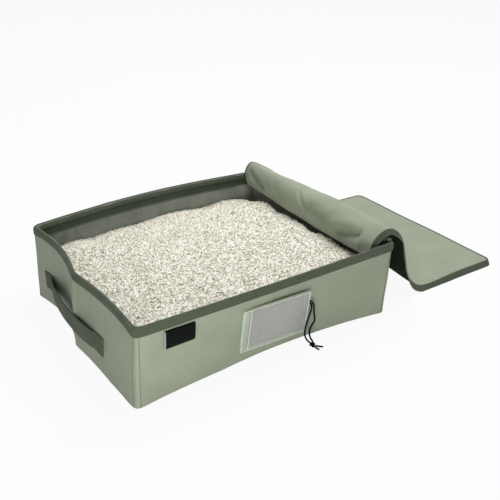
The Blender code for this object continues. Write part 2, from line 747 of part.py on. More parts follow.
def make_litter():
    """The litter: a low heaped mound that fills the liner."""
    places = all_round()
    side = liner_inside + CLEARANCE
    bottom = floor_top + CLEARANCE
    rings = [[wall_point(where, share, height, side) for where, share in places]
             for height in levels(bottom, litter_top)]
    edge = rings[-1]
    middle = sum(edge, Vector()) / len(edge)
    for share in LITTER_RINGS:
        level = [middle + (point - middle) * share for point in edge]
        rings.append([point + litter_lift(point, share) for point in level])
    loft("litter", rings, litter_grains())


make_shell()
make_rim()
make_slider()
make_lid()
make_handle("left")
make_handle("right")
make_label()
make_pocket()
make_drawstring()
make_litter()
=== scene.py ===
"""The looks of the portable litter box: cloth walls, liner, rolled-back lid, zip, litter and cord.

Metres, +Z up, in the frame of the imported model. +X runs along the long side towards the lid, and -Y is
the front. Grids of points are (rows, columns, xyz) arrays. Every random draw is seeded.
"""
from math import cos, pi, radians, sin

import bmesh
import bpy
import numpy as np
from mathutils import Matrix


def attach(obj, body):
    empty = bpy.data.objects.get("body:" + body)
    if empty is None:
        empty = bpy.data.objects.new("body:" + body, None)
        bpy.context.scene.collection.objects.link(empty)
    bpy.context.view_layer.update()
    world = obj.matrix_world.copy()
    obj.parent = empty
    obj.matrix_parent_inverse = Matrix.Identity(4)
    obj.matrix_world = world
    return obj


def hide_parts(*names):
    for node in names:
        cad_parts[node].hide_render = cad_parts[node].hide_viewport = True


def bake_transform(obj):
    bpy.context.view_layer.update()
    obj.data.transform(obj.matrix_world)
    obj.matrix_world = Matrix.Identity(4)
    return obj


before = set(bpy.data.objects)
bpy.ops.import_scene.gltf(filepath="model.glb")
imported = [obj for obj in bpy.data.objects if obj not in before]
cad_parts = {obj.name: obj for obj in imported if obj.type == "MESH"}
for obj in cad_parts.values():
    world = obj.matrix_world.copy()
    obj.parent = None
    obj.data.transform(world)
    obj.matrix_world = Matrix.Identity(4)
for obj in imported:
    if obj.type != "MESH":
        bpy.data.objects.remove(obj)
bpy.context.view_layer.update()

# The camera, fitted to the tray's corners in the photograph
CAMERA_PLACE = (-0.5626, -0.9725, 0.6781)
CAMERA_TILT_DEG = 62.8
CAMERA_TURN_DEG = -33.8
CAMERA_LENS = 55.43

# The tray, repeated from part.py
TRAY_LENGTH = 0.458
TRAY_WIDTH = 0.384
TRAY_HEIGHT = 0.130
WALL_FLARE = 0.0055
RIM_LEAN = 0.007
CLEARANCE = 0.0003
FRONT_BASE_TUCK = 0.015
BACK_BASE_BULGE = 0.006
BACK_RIM_BULGE = 0.022
LEFT_RIDGE = 0.0065
LEFT_BASE_FRONT_SAG = 0.003
LEFT_BASE_BACK_SAG = 0.014
LEFT_RIM_FRONT_SAG = 0.006
LEFT_RIM_BACK_SAG = 0.011
RIGHT_BASE_BULGE = 0.004
FABRIC = 0.0012
BINDING = 0.0012
FABRIC_TOP = 0.1285
LINER_BOTTOM = 0.0048
FLOOR_TOP = 0.0058
LINER_DEPTH = 0.0038
LINER_INSIDE = 0.0048
FRONT_RIM_BULGE = 0.00334
ZIP_SHARE = 0.8996

SIDES = ("front", "right", "back", "left")
SIDE_STEPS = {"front": 152, "right": 128, "back": 156, "left": 128}
# How far the corners are rounded at the base and at the rim, in passes of softening
CORNER_PASSES = (2, 12)
CORNER_STEPS = 6
# How much further out than in part.py the front right corner reaches
FRONT_RIGHT_REACH = 0.0055
SHARP_DEG = 42
SHEEN_SHARE = 0.12
WHITE = (1.0, 1.0, 1.0)
# How dark the cloth is between its threads
THREAD_SHADE = 0.82
UP = (0.0, 0.0, 1.0)
# Noise lies mostly between these values
NOISE_LOW = 0.3
NOISE_HIGH = 0.7


def material_tree(name):
    """A new material, its node tree and its shader."""
    material = bpy.data.materials.new(name)
    material.use_nodes = True
    return material, material.node_tree, material.node_tree.nodes["Principled BSDF"]


def set_inputs(tree, node, inputs):
    """Sets a node's inputs, each to a value or to another node's output."""
    for name, value in inputs.items():
        if isinstance(value, bpy.types.NodeSocket):
            tree.links.new(value, node.inputs[name])
        else:
            node.inputs[name].default_value = value


def add_node(tree, kind, inputs=None, **settings):
    """A node with its settings and inputs."""
    node = tree.nodes.new(kind)
    for name, value in settings.items():
        setattr(node, name, value)
    set_inputs(tree, node, inputs or {})
    return node


def calculate(tree, operation, first, second=0.0):
    """The output of a Math node."""
    return add_node(tree, "ShaderNodeMath", {0: first, 1: second}, operation=operation).outputs[0]


def noise(tree, size, detail=3.0):
    """Noise whose patches are about size across, in the object's own space."""
    place = add_node(tree, "ShaderNodeTexCoord").outputs["Object"]
    inputs = {"Vector": place, "Scale": 1 / size, "Detail": detail}
    return add_node(tree, "ShaderNodeTexNoise", inputs).outputs[0]


def stretch(tree, value, low, high, new_low, new_high):
    """A value from low to high, mapped to new_low to new_high."""
    names = ("Value", "From Min", "From Max", "To Min", "To Max")
    inputs = dict(zip(names, (value, low, high, new_low, new_high)))
    return add_node(tree, "ShaderNodeMapRange", inputs).outputs[0]


def patchy(tree, size, low, high):
    """A value that wanders between low and high, in patches about size across."""
    return stretch(tree, noise(tree, size), NOISE_LOW, NOISE_HIGH, low, high)


def mix_colours(tree, share, first, second, **settings):
    """A colour between two, by share."""
    inputs = {"Factor": share, 6: first, 7: second}
    return add_node(tree, "ShaderNodeMix", inputs, data_type="RGBA", **settings).outputs[2]


def shaded(colour, amount):
    """A colour made lighter or darker, with its alpha."""
    return (*(min(1.0, part * amount) for part in colour), 1.0)


def patchy_colour(tree, colour, size, dark, light):
    """A colour that wanders between a darker and a lighter shade of itself."""
    return mix_colours(tree, patchy(tree, size, 0.0, 1.0), shaded(colour, dark), shaded(colour, light))


def weave(tree, across, along):
    """The height of a plain weave whose threads are across and along apart, from the UV map."""
    place = add_node(tree, "ShaderNodeTexCoord").outputs["UV"]
    parts = add_node(tree, "ShaderNodeSeparateXYZ", {"Vector": place}).outputs
    waves = [calculate(tree, "SINE", calculate(tree, "MULTIPLY", parts[axis], 2 * pi / size))
             for axis, size in enumerate((across, along))]
    return calculate(tree, "MULTIPLY", *waves)


def bump(tree, height, distance):
    """The normal of a surface with bumps, of a height from about -1 to 1."""
    inputs = {"Height": height, "Distance": distance, "Strength": 1.0}
    return add_node(tree, "ShaderNodeBump", inputs).outputs["Normal"]


def cloth_material(name, colour, threads, roughness, relief=0.00012, patches=0.05, variation=0.09,
                   gloss=0.25):
    """Woven cloth: patchy colour, threads in its bump and a roughness that changes with the wear."""
    material, tree, shader = material_tree(name)
    threads_height = weave(tree, *threads)
    speckle = calculate(tree, "MULTIPLY", threads_height, noise(tree, 0.0008))
    worn = patchy_colour(tree, colour, patches, 1 - variation, 1 + variation)
    fine = mix_colours(tree, stretch(tree, speckle, -0.6, 0.6, 0.0, 1.0), shaded(WHITE, THREAD_SHADE),
                       shaded(WHITE, 1))
    set_inputs(tree, shader, {
        "Base Color": mix_colours(tree, 1.0, worn, fine, blend_type="MULTIPLY"),
        "Roughness": patchy(tree, patches * 0.6, roughness - 0.06, roughness + 0.06),
        "Normal": bump(tree, threads_height, relief),
        "Sheen Weight": gloss * SHEEN_SHARE, "Sheen Roughness": 0.5, "Specular IOR Level": gloss})
    return material


def hard_material(name, colour, roughness, metallic=0.0, grain=0.0006, relief=0.00002):
    """A hard surface with a fine grain and worn patches."""
    material, tree, shader = material_tree(name)
    set_inputs(tree, shader, {
        "Base Color": patchy_colour(tree, colour, 0.01, 0.85, 1.15),
        "Roughness": patchy(tree, 0.004, roughness - 0.07, roughness + 0.07),
        "Normal": bump(tree, noise(tree, grain), relief), "Metallic": metallic})
    return material


def film_material(name, colour, alpha, roughness):
    """Clear plastic film, slightly clouded and rippled."""
    material, tree, shader = material_tree(name)
    set_inputs(tree, shader, {
        "Base Color": patchy_colour(tree, colour, 0.02, 0.92, 1.05),
        "Roughness": patchy(tree, 0.012, roughness - 0.05, roughness + 0.08),
        "Normal": bump(tree, noise(tree, 0.009), 0.0004), "Alpha": alpha})
    return material


def litter_material(name):
    """Cream grains, some of them tan, grey or olive, by the place that each one lies in."""
    material, tree, shader = material_tree(name)
    place = add_node(tree, "ShaderNodeTexCoord").outputs["Object"]
    cells = add_node(tree, "ShaderNodeTexVoronoi", {"Vector": place, "Scale": 1 / GRAIN_CELL})
    share = add_node(tree, "ShaderNodeSeparateColor", {"Color": cells.outputs["Color"]}).outputs[0]
    ramp = add_node(tree, "ShaderNodeValToRGB", {"Fac": share})
    ramp.color_ramp.interpolation = "CONSTANT"
    stops = ramp.color_ramp.elements
    for index, (start, colour) in enumerate(LITTER_COLOURS):
        stop = stops[index] if index < 2 else stops.new(start)
        stop.position = start
        stop.color = shaded(colour, 1)
    set_inputs(tree, shader, {
        "Base Color": ramp.outputs["Color"], "Roughness": patchy(tree, 0.003, 0.75, 0.95),
        "Normal": bump(tree, noise(tree, 0.0007), 0.0002)})
    return material


GRAIN_CELL = 0.0032
# The grains' colours, each from a share of them to the next one's
LITTER_COLOURS = ((0.0, (0.93, 0.90, 0.80)), (0.40, (0.97, 0.96, 0.89)), (0.64, (0.86, 0.82, 0.71)),
                  (0.80, (0.66, 0.62, 0.50)), (0.90, (0.78, 0.70, 0.56)), (0.945, (0.48, 0.48, 0.38)))

SAGE = cloth_material("sage_cloth", (0.340, 0.385, 0.283), (0.0008, 0.0008), 0.52, relief=0.00010,
                      variation=0.06)
# The corner seams: the sage darkened as painted shade of the seams' folds
SEAM_PAINTED_SHADE = cloth_material("seam_painted_shade", (0.150, 0.175, 0.120), (0.0004, 0.0008), 0.6)
# The lid's inner face is near black: painted shade for the deep shadow under the rolled lid, and the
# closed lid shows it on top
LID_PAINTED_SHADE = cloth_material("lid_painted_shade", (0.013, 0.019, 0.010), (0.0008, 0.0008), 0.8,
                             relief=0.00010, gloss=0.03)
OLIVE_TAPE = cloth_material("olive_tape", (0.080, 0.098, 0.062), (0.0011, 0.0007), 0.62, relief=0.00014)
OLIVE_WEBBING = cloth_material("olive_webbing", (0.082, 0.106, 0.064), (0.0016, 0.0030), 0.68,
                               relief=0.0004)
LINER_CLOTH = cloth_material("liner_cloth", (0.285, 0.312, 0.262), (0.0006, 0.0006), 0.30,
                             relief=0.00006, patches=0.03, variation=0.14)
ZIP_CLOTH = cloth_material("zip_cloth", (0.066, 0.082, 0.052), (0.0009, 0.0005), 0.7, relief=0.00015,
                           gloss=0.1)
# The pocket's borders: sage under clear film, made paler by painted highlights of the film
FILMED_SAGE_AND_SHEEN = cloth_material("filmed_sage_and_sheen", (0.50, 0.58, 0.42), (0.0007, 0.0007), 0.45, relief=0.00008)
GREY_CLOTH = cloth_material("grey_cloth", (0.33, 0.315, 0.305), (0.0006, 0.0006), 0.42, relief=0.00006)
BLACK_CLOTH = cloth_material("black_cloth", (0.004, 0.005, 0.004), (0.0005, 0.0005), 0.6,
                             relief=0.00006, gloss=0.04)
PALE_GREY_CLOTH = cloth_material("pale_grey_cloth", (0.40, 0.42, 0.44), (0.0005, 0.0005), 0.5)
CORD_BRAID = cloth_material("cord_braid", (0.008, 0.009, 0.008), (0.0009, 0.0012), 0.65, relief=0.00025,
                            gloss=0.04)
THREAD = cloth_material("olive_thread", (0.120, 0.145, 0.098), (0.0003, 0.0004), 0.5, relief=0.00004)
NYLON = hard_material("zip_nylon", (0.040, 0.055, 0.032), 0.35)
METAL = hard_material("dark_metal", (0.022, 0.026, 0.018), 0.5, metallic=0.3)
BOARD_FACE = hard_material("grey_board", (0.30, 0.27, 0.22), 0.85, grain=0.0015, relief=0.00015)
FILM = film_material("clear_film", (0.62, 0.63, 0.60), 0.22, 0.16)
FILM_EDGE = film_material("clouded_film", (0.78, 0.82, 0.74), 0.75, 0.3)
GRAINS = litter_material("litter_grains")


def arc(share, amount):
    """One bow of a sine, amount high, from share 0 to share 1."""
    return amount * np.sin(pi * share)


def bow(side, share, rise):
    """How far the tray's wall stands outside a straight side, as in part.py."""
    low = 1 - rise
    if side == "front":
        return arc(share, FRONT_RIM_BULGE * rise - FRONT_BASE_TUCK * low)
    if side == "back":
        return arc(share, BACK_RIM_BULGE * rise + BACK_BASE_BULGE * low)
    if side == "right":
        return arc(share, RIGHT_BASE_BULGE * low)
    along = 2 * (1 - share)
    front_sag = LEFT_RIM_FRONT_SAG * rise + LEFT_BASE_FRONT_SAG * low
    back_sag = LEFT_RIM_BACK_SAG * rise + LEFT_BASE_BACK_SAG * low
    return np.where(along <= 1, LEFT_RIDGE * along - arc(along, front_sag),
                    LEFT_RIDGE * (2 - along) - arc(along - 1, back_sag))


def wall_points(side, share, height, depth):
    """Points of a wall at shares of its length, anticlockwise, at a height and a depth inside it."""
    rise = height / TRAY_HEIGHT
    inset = BINDING + CLEARANCE + WALL_FLARE * (1 - rise) + depth
    half_x = TRAY_LENGTH / 2 - inset
    half_y = TRAY_WIDTH / 2 - inset
    across = 2 * share - 1
    out = bow(side, share, rise)
    x, y = {
        "front": (half_x * across, -half_y - out),
        "right": (half_x + out, half_y * across),
        "back": (-half_x * across, half_y + out),
        "left": (-half_x - out, -half_y * across),
    }[side]
    reach = FRONT_RIGHT_REACH * np.clip(x / half_x, 0, 1) ** 2 * np.clip(-y / half_y, 0, 1) ** 2
    return np.stack([x + reach + RIM_LEAN * rise, y, np.full_like(share, height)], axis=1)


def softened(loop, passes):
    """A closed loop of points, with its corners rounded."""
    for _ in range(passes):
        loop = (np.roll(loop, 1, axis=0) + 2 * loop + np.roll(loop, -1, axis=0)) / 4
    return loop


def ring(height, depth):
    """The whole way round the walls at a height and a depth, from the front left corner."""
    loop = np.concatenate([wall_points(side, np.arange(steps) / steps, height, depth)
                           for side, steps in SIDE_STEPS.items()])
    plain, base, rim = (softened(loop, passes) for passes in (1, *CORNER_PASSES))
    rounded = base + (rim - base) * height / TRAY_HEIGHT
    return plain + (rounded - plain) * CORNER_SHARE


def unit(vectors):
    """Vectors of the same directions, each one long."""
    return vectors / np.linalg.norm(vectors, axis=-1, keepdims=True)


def level_right(step):
    """The level directions to the right of given steps."""
    return unit(np.stack([step[:, 1], -step[:, 0], np.zeros(len(step))], axis=1))


def outward(loop):
    """The level direction that points out of an anticlockwise loop at each point."""
    return level_right(np.roll(loop, -1, axis=0) - np.roll(loop, 1, axis=0))


def raised(loop, amount):
    """A closed loop moved outwards, by an amount at each point."""
    return loop + outward(loop) * amount[:, None]


SIDE_STARTS = dict(zip(SIDES, np.cumsum([0] + list(SIDE_STEPS.values())[:-1])))
RING_STEPS = sum(SIDE_STEPS.values())
corners = np.array([*SIDE_STARTS.values(), RING_STEPS])
corner_away = np.abs(np.arange(RING_STEPS)[:, None] - corners).min(axis=1)
CORNER_SHARE = np.clip(2 - corner_away / CORNER_STEPS, 0, 1)[:, None]
middle_ring = ring(TRAY_HEIGHT / 2, 0.0)
ring_steps_length = np.linalg.norm(np.roll(middle_ring, -1, axis=0) - middle_ring, axis=1)
RING_PLACE = np.concatenate([[0], np.cumsum(ring_steps_length)[:-1]])
RING_LENGTH = float(ring_steps_length.sum())


def ring_place(side, share):
    """The distance round the walls at a share of one side."""
    return float(np.interp(SIDE_STARTS[side] + share * SIDE_STEPS[side], np.arange(RING_STEPS),
                           RING_PLACE))


def fold_lines(u, v, lines):
    """How far cloth stands out at (u, v) for folds given as (start, end, width, height)."""
    total = np.zeros(np.broadcast(u, v).shape)
    for (u0, v0), (u1, v1), width, height in lines:
        du, dv = u1 - u0, v1 - v0
        along = np.clip(((u - u0) * du + (v - v0) * dv) / (du * du + dv * dv), 0, 1)
        away = np.hypot(u - u0 - along * du, v - v0 - along * dv)
        total += height * np.exp(-(away / width) ** 2)
    return total


WAVES = 12
WAVE_LENGTHS = (0.6, 1.8)


def ripples(u, v, seed, size, height):
    """Soft irregular waves about size long, standing about height out."""
    random = np.random.default_rng(seed)
    total = np.zeros(np.broadcast(u, v).shape)
    for _ in range(WAVES):
        turn, phase = random.uniform(0, 2 * pi, 2)
        length = size * random.uniform(*WAVE_LENGTHS)
        total += np.sin(2 * pi * (u * cos(turn) + v * sin(turn)) / length + phase)
    return height * total / WAVES ** 0.5


def eased(value, start, end):
    """0 before start, 1 after end and smooth between."""
    share = np.clip((value - start) / (end - start), 0, 1)
    return share * share * (3 - 2 * share)


def measured(grid):
    """A grid's distances along its columns and rows, for its UV map."""
    across = np.linalg.norm(np.diff(grid, axis=1), axis=2).mean(axis=0)
    down = np.linalg.norm(np.diff(grid, axis=0), axis=2).mean(axis=1)
    lengths = [np.concatenate([[0], np.cumsum(steps)]) for steps in (across, down)]
    return np.stack(np.meshgrid(*lengths), axis=2)


def add_object(name, points, faces, corner_uv, material):
    """A mesh object with a UV map and a material, linked to the scene."""
    mesh = bpy.data.meshes.new(name)
    mesh.from_pydata(np.asarray(points).tolist(), [], faces)
    uv_map = mesh.uv_layers.new(name="UVMap")
    uv_map.uv.foreach_set("vector", np.asarray(corner_uv, dtype=np.float32).reshape(-1))
    mesh.materials.append(material)
    obj = bpy.data.objects.new(name, mesh)
    bpy.context.scene.collection.objects.link(obj)
    return obj


def finish_mesh(obj, face_out=True):
    """Faces turned outwards, smooth shading and sharp edges."""
    if face_out:
        build = bmesh.new()
        build.from_mesh(obj.data)
        bmesh.ops.recalc_face_normals(build, faces=build.faces)
        build.to_mesh(obj.data)
        build.free()
    obj.data.shade_smooth()
    obj.data.set_sharp_from_angle(angle=radians(SHARP_DEG))
    return obj


def closed_round(grid):
    """A grid with its first column again after its last."""
    return np.concatenate([grid, grid[:, :1]], axis=1)


def quads(corner):
    """The faces between a grid of point numbers."""
    around = [corner[:-1, :-1], corner[:-1, 1:], corner[1:, 1:], corner[1:, :-1]]
    return np.stack(around, axis=2).reshape(-1, 4)


def cloth(name, outer, inner, uv, material, normals=None, painted_shade_back=None):
    """A closed piece of cloth between two grids. Its outer side is where columns cross rows."""
    rows, columns = outer.shape[:2]
    count = rows * columns
    corner = np.arange(count).reshape(rows, columns)
    edge = np.concatenate([corner[0, :-1], corner[:-1, -1], corner[-1, :0:-1], corner[:0:-1, 0]])
    after = np.roll(edge, -1)
    rim = np.stack([edge, edge + count, after + count, after], axis=1)
    faces = np.concatenate([quads(corner), quads(corner)[:, ::-1] + count, rim])
    points = np.concatenate([outer.reshape(-1, 3), inner.reshape(-1, 3)])
    corner_uv = uv.reshape(-1, 2)[faces.reshape(-1) % count]
    obj = finish_mesh(add_object(name, points, faces.tolist(), corner_uv, material), face_out=False)
    # A second material for the inner side: on the lid, the painted shade
    if painted_shade_back is not None:
        obj.data.materials.append(painted_shade_back)
        behind = np.arange(len(faces)) // len(quads(corner)) == 1
        obj.data.polygons.foreach_set("material_index", behind.astype(np.int32))
    if normals is not None:
        flat = normals.reshape(-1, 3)
        obj.data.normals_split_custom_set_from_vertices(np.concatenate([flat, -flat]).tolist())
    return obj


def shell(name, rings, material, joined=False):
    """A closed surface through rings of points, capped at both ends or joined end to end."""
    rings = np.asarray(rings)
    many, around = rings.shape[:2]
    corner = np.arange(many * around).reshape(many, around)
    if joined:
        corner = np.concatenate([corner, corner[:1]])
    corner = closed_round(corner)
    faces = quads(corner).tolist()
    uv = measured(rings.reshape(-1, 3)[corner]).reshape(-1, 2)
    corner_uv = uv[quads(np.arange(corner.size).reshape(corner.shape)).reshape(-1)]
    if not joined:
        for index, points in ((0, rings[0]), (many - 1, rings[-1])):
            faces.append((index * around + np.arange(around)).tolist())
            axes = np.sort(np.argsort(np.ptp(points, axis=0))[1:])
            corner_uv = np.concatenate([corner_uv, points[:, axes]])
    return finish_mesh(add_object(name, rings.reshape(-1, 3), faces, corner_uv, material))


def directions(route, ups):
    """Side and up at each point of a route."""
    along = unit(np.gradient(route, axis=0))
    side = unit(np.cross(along, ups))
    return side, np.cross(side, along)


def sweep(name, route, ups, section, material):
    """A section of (side, up) points carried along a route. Sections and ups may be one a point."""
    side, up = directions(route, ups)
    section = np.broadcast_to(section, (len(route), *np.asarray(section).shape[-2:]))
    rings = (route[:, None] + section[:, :, :1] * side[:, None] + section[:, :, 1:] * up[:, None])
    return shell(name, rings, material)


ROUNDED_SHARE = 0.45


def rounded_section(width, height, steps=4):
    """A rectangle with rounded corners, as (side, up) points round the middle."""
    radius = min(width, height) * ROUNDED_SHARE
    points = []
    for corner, (sx, sy) in enumerate(((1, 1), (-1, 1), (-1, -1), (1, -1))):
        for step in range(steps):
            turn = pi / 2 * (corner + step / (steps - 1))
            points.append((sx * (width / 2 - radius) + radius * cos(turn),
                           sy * (height / 2 - radius) + radius * sin(turn)))
    return np.array(points)


def moved_right(section, thickness):
    """The points of an open section, moved to its right by a thickness."""
    step = unit(np.gradient(section, axis=0))
    return section + thickness * np.stack([step[:, 1], -step[:, 0]], axis=1)


def route_places(route):
    """The distance along a route at each of its points."""
    steps = np.linalg.norm(np.diff(route, axis=0), axis=1)
    return np.concatenate([[0], np.cumsum(steps)])


def on_route(route, values, places):
    """Values that belong to a route's points, at distances along it."""
    distance = route_places(route)
    return np.stack([np.interp(places, distance, values[:, axis]) for axis in range(3)], axis=1)


BAR_RINGS = ((0.0, 0.4), (0.5, 1.0), (1.0, 0.4))
BAR_SIDES = 6


def bars(name, starts, ends, ups, width, height, material):
    """Many small rounded bars in one mesh, such as stitches or a zip's teeth."""
    along = ends - starts
    side = unit(np.cross(along, ups))
    up = unit(np.cross(side, along))
    turn = 2 * pi * np.arange(BAR_SIDES) / BAR_SIDES
    round_way = (width / 2 * np.cos(turn)[:, None] * side[:, None]
                 + height / 2 * np.sin(turn)[:, None] * up[:, None])
    rings = [(starts + along * share)[:, None] + wide * round_way for share, wide in BAR_RINGS]
    points = np.stack(rings, axis=1)
    size = len(BAR_RINGS) * BAR_SIDES
    corner = closed_round(np.arange(size).reshape(len(BAR_RINGS), BAR_SIDES))
    one = quads(corner).tolist() + [corner[0, :-1].tolist(), corner[-1, -2::-1].tolist()]
    faces = [[number + bar * size for number in face] for bar in range(len(starts)) for face in one]
    flat = points.reshape(-1, 3)
    numbers = np.concatenate([np.array(face) for face in faces])
    corner_uv = np.stack([flat[numbers, 0] + flat[numbers, 1], flat[numbers, 2]], axis=1)
    return finish_mesh(add_object(name, flat, faces, corner_uv, material))


STITCH = 0.0022
STITCH_PITCH = 0.0031
STITCH_THICKNESS = 0.0005


def stitches(name, route, ups, material=THREAD):
    """A row of stitches lying on a surface along a route."""
    count = int(route_places(route)[-1] / STITCH_PITCH)
    places = (np.arange(count) + 0.2) * STITCH_PITCH
    starts = on_route(route, route, places)
    ends = on_route(route, route, places + STITCH)
    lift = on_route(route, np.broadcast_to(ups, route.shape), places)
    return bars(name, starts, ends, lift, STITCH_THICKNESS, STITCH_THICKNESS, material)


# A direction that no cord runs along, and how thick a cord is at its very ends
TUBE_UP = (0.31, 0.23, 0.92)
TUBE_END_SHARE = 0.6


def tube(name, route, diameter, material, sides=10):
    """A round cord along a route, with softly closed ends."""
    turn = 2 * pi * np.arange(sides) / sides
    circle = diameter / 2 * np.stack([np.cos(turn), np.sin(turn)], axis=1)
    sizes = np.ones(len(route))
    sizes[[0, -1]] = TUBE_END_SHARE
    return sweep(name, route, TUBE_UP, circle * sizes[:, None, None], material)


def place(obj, body, slot, *nodes):
    """Puts a piece on its body, in place of CAD nodes. The slot is not used."""
    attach(obj, body)
    if nodes:
        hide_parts(*nodes)
    return obj


# The camera
camera = bpy.data.objects.new("camera", bpy.data.cameras.new("camera"))
camera.location = CAMERA_PLACE
camera.rotation_euler = (radians(CAMERA_TILT_DEG), 0, radians(CAMERA_TURN_DEG))
camera.data.sensor_width = 36
camera.data.lens = CAMERA_LENS
bpy.context.scene.collection.objects.link(camera)
bpy.context.scene.camera = camera

# The drawstring: two strands from the pouch to a knot on the floor, and the cord's two short ends
CORD = 0.0028
KNOT_PLACE = (0.0700, -0.2015, 0.0036)
KNOT_RADIUS = 0.0050
STRAND_LEFT = ((0.0668, -0.1909, 0.0740), (0.0683, -0.1910, 0.0739), (0.0705, -0.1914, 0.0727),
               (0.0719, -0.1925, 0.0695), (0.0714, -0.1937, 0.0652), (0.0692, -0.1948, 0.0602),
               (0.0660, -0.1958, 0.0545), (0.0624, -0.1968, 0.0480), (0.0588, -0.1976, 0.0410),
               (0.0564, -0.1983, 0.0335), (0.0560, -0.1989, 0.0258), (0.0580, -0.1996, 0.0183),
               (0.0622, -0.2004, 0.0118), (0.0672, -0.2011, 0.0065))
STRAND_RIGHT = ((0.0668, -0.1916, 0.0780), (0.0685, -0.1917, 0.0779), (0.0714, -0.1926, 0.0766),
                (0.0734, -0.1946, 0.0730), (0.0739, -0.1962, 0.0678), (0.0735, -0.1970, 0.0615),
                (0.0738, -0.1976, 0.0550), (0.0748, -0.1980, 0.0490), (0.0744, -0.1981, 0.0438),
                (0.0714, -0.1981, 0.0392), (0.0676, -0.1982, 0.0348), (0.0654, -0.1985, 0.0290),
                (0.0652, -0.1989, 0.0222), (0.0667, -0.1996, 0.0160), (0.0692, -0.2004, 0.0114),
                (0.0707, -0.2010, 0.0078))
TAIL_LEFT = ((0.0704, -0.2056, 0.0024), (0.0709, -0.2088, 0.0015), (0.0715, -0.2122, 0.0013),
             (0.0720, -0.2160, 0.0013))
TAIL_RIGHT = ((0.0731, -0.2043, 0.0024), (0.0757, -0.2067, 0.0015), (0.0788, -0.2097, 0.0013),
              (0.0820, -0.2130, 0.0013))
KNOT_STEPS = 56
KNOT_FLATNESS = 0.62


def smooth_route(points, spacing):
    """Points about spacing apart on a smooth curve through the given ones."""
    points = np.array(points, dtype=float)
    padded = np.concatenate([[2 * points[0] - points[1]], points, [2 * points[-1] - points[-2]]])
    t = np.arange(20)[:, None] / 20
    fine = []
    for a, b, c, d in zip(padded, padded[1:], padded[2:], padded[3:]):
        fine.append(0.5 * (2 * b + (c - a) * t + (2 * a - 5 * b + 4 * c - d) * t ** 2
                           + (3 * b - a - 3 * c + d) * t ** 3))
    fine = np.concatenate(fine + [points[-1:]])
    length = route_places(fine)[-1]
    return on_route(fine, fine, np.linspace(0, length, max(4, round(length / spacing) + 1)))


def make_knot():
    """An overhand knot in the doubled cord: a trefoil wound close on itself."""
    turn = 2 * pi * np.arange(KNOT_STEPS) / KNOT_STEPS
    x = np.sin(turn) + 2 * np.sin(2 * turn)
    y = np.cos(turn) - 2 * np.cos(2 * turn)
    z = -np.sin(3 * turn)
    size = KNOT_RADIUS - CORD / 2
    route = np.stack([x / 3 * size, y / 3 * size, z * size * KNOT_FLATNESS], axis=1) + KNOT_PLACE
    route = np.concatenate([route, route[:1]])
    return tube("knot", route, CORD, CORD_BRAID)


def make_drawstring():
    """The drawstring: its strands, its knot and its two ends."""
    knot = place(make_knot(), "pouch", "black_cord", "drawstring_knot")
    tails = []
    for name, points in (("left", TAIL_LEFT), ("right", TAIL_RIGHT)):
        tail = tube(f"cord_end_{name}", smooth_route(points, CORD / 2), CORD, CORD_BRAID)
        tails.append(place(tail, "pouch", "black_cord", f"drawstring_end_{name}"))
    for name, points, pieces in (("left", STRAND_LEFT, [knot, *tails]), ("right", STRAND_RIGHT, [])):
        route = smooth_route(points, CORD / 2)
        strand = tube(f"cord_{name}", route, CORD, CORD_BRAID)
        place(strand, "pouch", "black_cord", f"drawstring_{name}")


# The outer walls
WALL_LEVELS = np.concatenate([[0, 0.0004, 0.0010, 0.0018, 0.0028], np.linspace(0.0045, FABRIC_TOP, 40)])
BASE_EDGE_RADIUS = 0.0015
BASE_LEVELS = (0.0002, 0.0012)
# The boards stand right behind the cloth, so it sinks in by no more than this
WALL_SINK = 0.0008
# Soft waves are given as (seed, size, height), here and below
WALL_RIPPLES = (11, 0.075, 0.00035)
# Between these heights the cloth is free to stand out, and above the last the binding holds it
WALL_FREE_LOW = 0.006
WALL_FREE_HIGH = FABRIC_TOP - 0.014
WALL_HELD = FABRIC_TOP - 0.002
# How far from the corner its seams stand, at the base and at the rim
CORNER_SEAM_PLACES = (0.0036, 0.0064)
CORNER_SEAM = 0.0008
CORNER_SEAM_BOTTOM = 0.002
CORNER_SEAM_STEPS = 40
# How far a piece stands off the cloth that it lies on
LIFT = 0.0001
# How far the cloth swells out at the base: (share of the side, outwards) points
BASE_SWELL = {
    "front": ((0.0, 0.0050), (0.10, 0.0038), (0.316, 0.0048), (0.50, 0.0010), (0.70, -0.0007),
              (0.85, -0.0006), (0.97, 0.0020)),
    "right": ((0.0, 0.0035), (0.5, 0.0), (0.97, 0.0015)),
    "back": ((0.0, 0.0015), (0.5, 0.0), (0.97, 0.0035)),
    "left": ((0.0, 0.0045), (0.25, 0.0040), (0.45, 0.0050), (0.60, 0.0052), (0.80, 0.0075),
             (0.97, 0.0062))}
front_middle = ring_place("front", 0.5)
left_middle = ring_place("left", 0.5)
WALL_FOLDS = (
    # The front's middle crease, and its ripples under the label and right of the pocket
    ((front_middle, 0.0), (front_middle + 0.001, 0.116), 0.0024, -0.0016),
    ((front_middle - 0.008, 0.0), (front_middle - 0.006, 0.116), 0.006, 0.0005),
    ((0.022, 0.070), (0.085, 0.066), 0.005, 0.0006),
    ((0.030, 0.055), (0.120, 0.050), 0.006, 0.0005),
    ((0.330, 0.030), (0.420, 0.062), 0.010, 0.0008),
    ((0.350, 0.060), (0.430, 0.088), 0.009, 0.0007),
    ((0.310, 0.012), (0.400, 0.030), 0.009, -0.0006),
    # The left wall's ridge, and the hollow behind the handle
    ((left_middle - 0.026, 0.042), (left_middle - 0.019, 0.088), 0.0100, -0.0009),
    ((left_middle - 0.003, 0.045), (left_middle - 0.003, 0.092), 0.0130, 0.0014),
    ((left_middle, 0.0), (left_middle, 0.128), 0.0040, 0.0018),
    ((left_middle - 0.016, 0.02), (left_middle - 0.012, 0.118), 0.009, -0.0004),
    ((left_middle + 0.016, 0.0), (left_middle + 0.013, 0.118), 0.009, -0.0004),
)


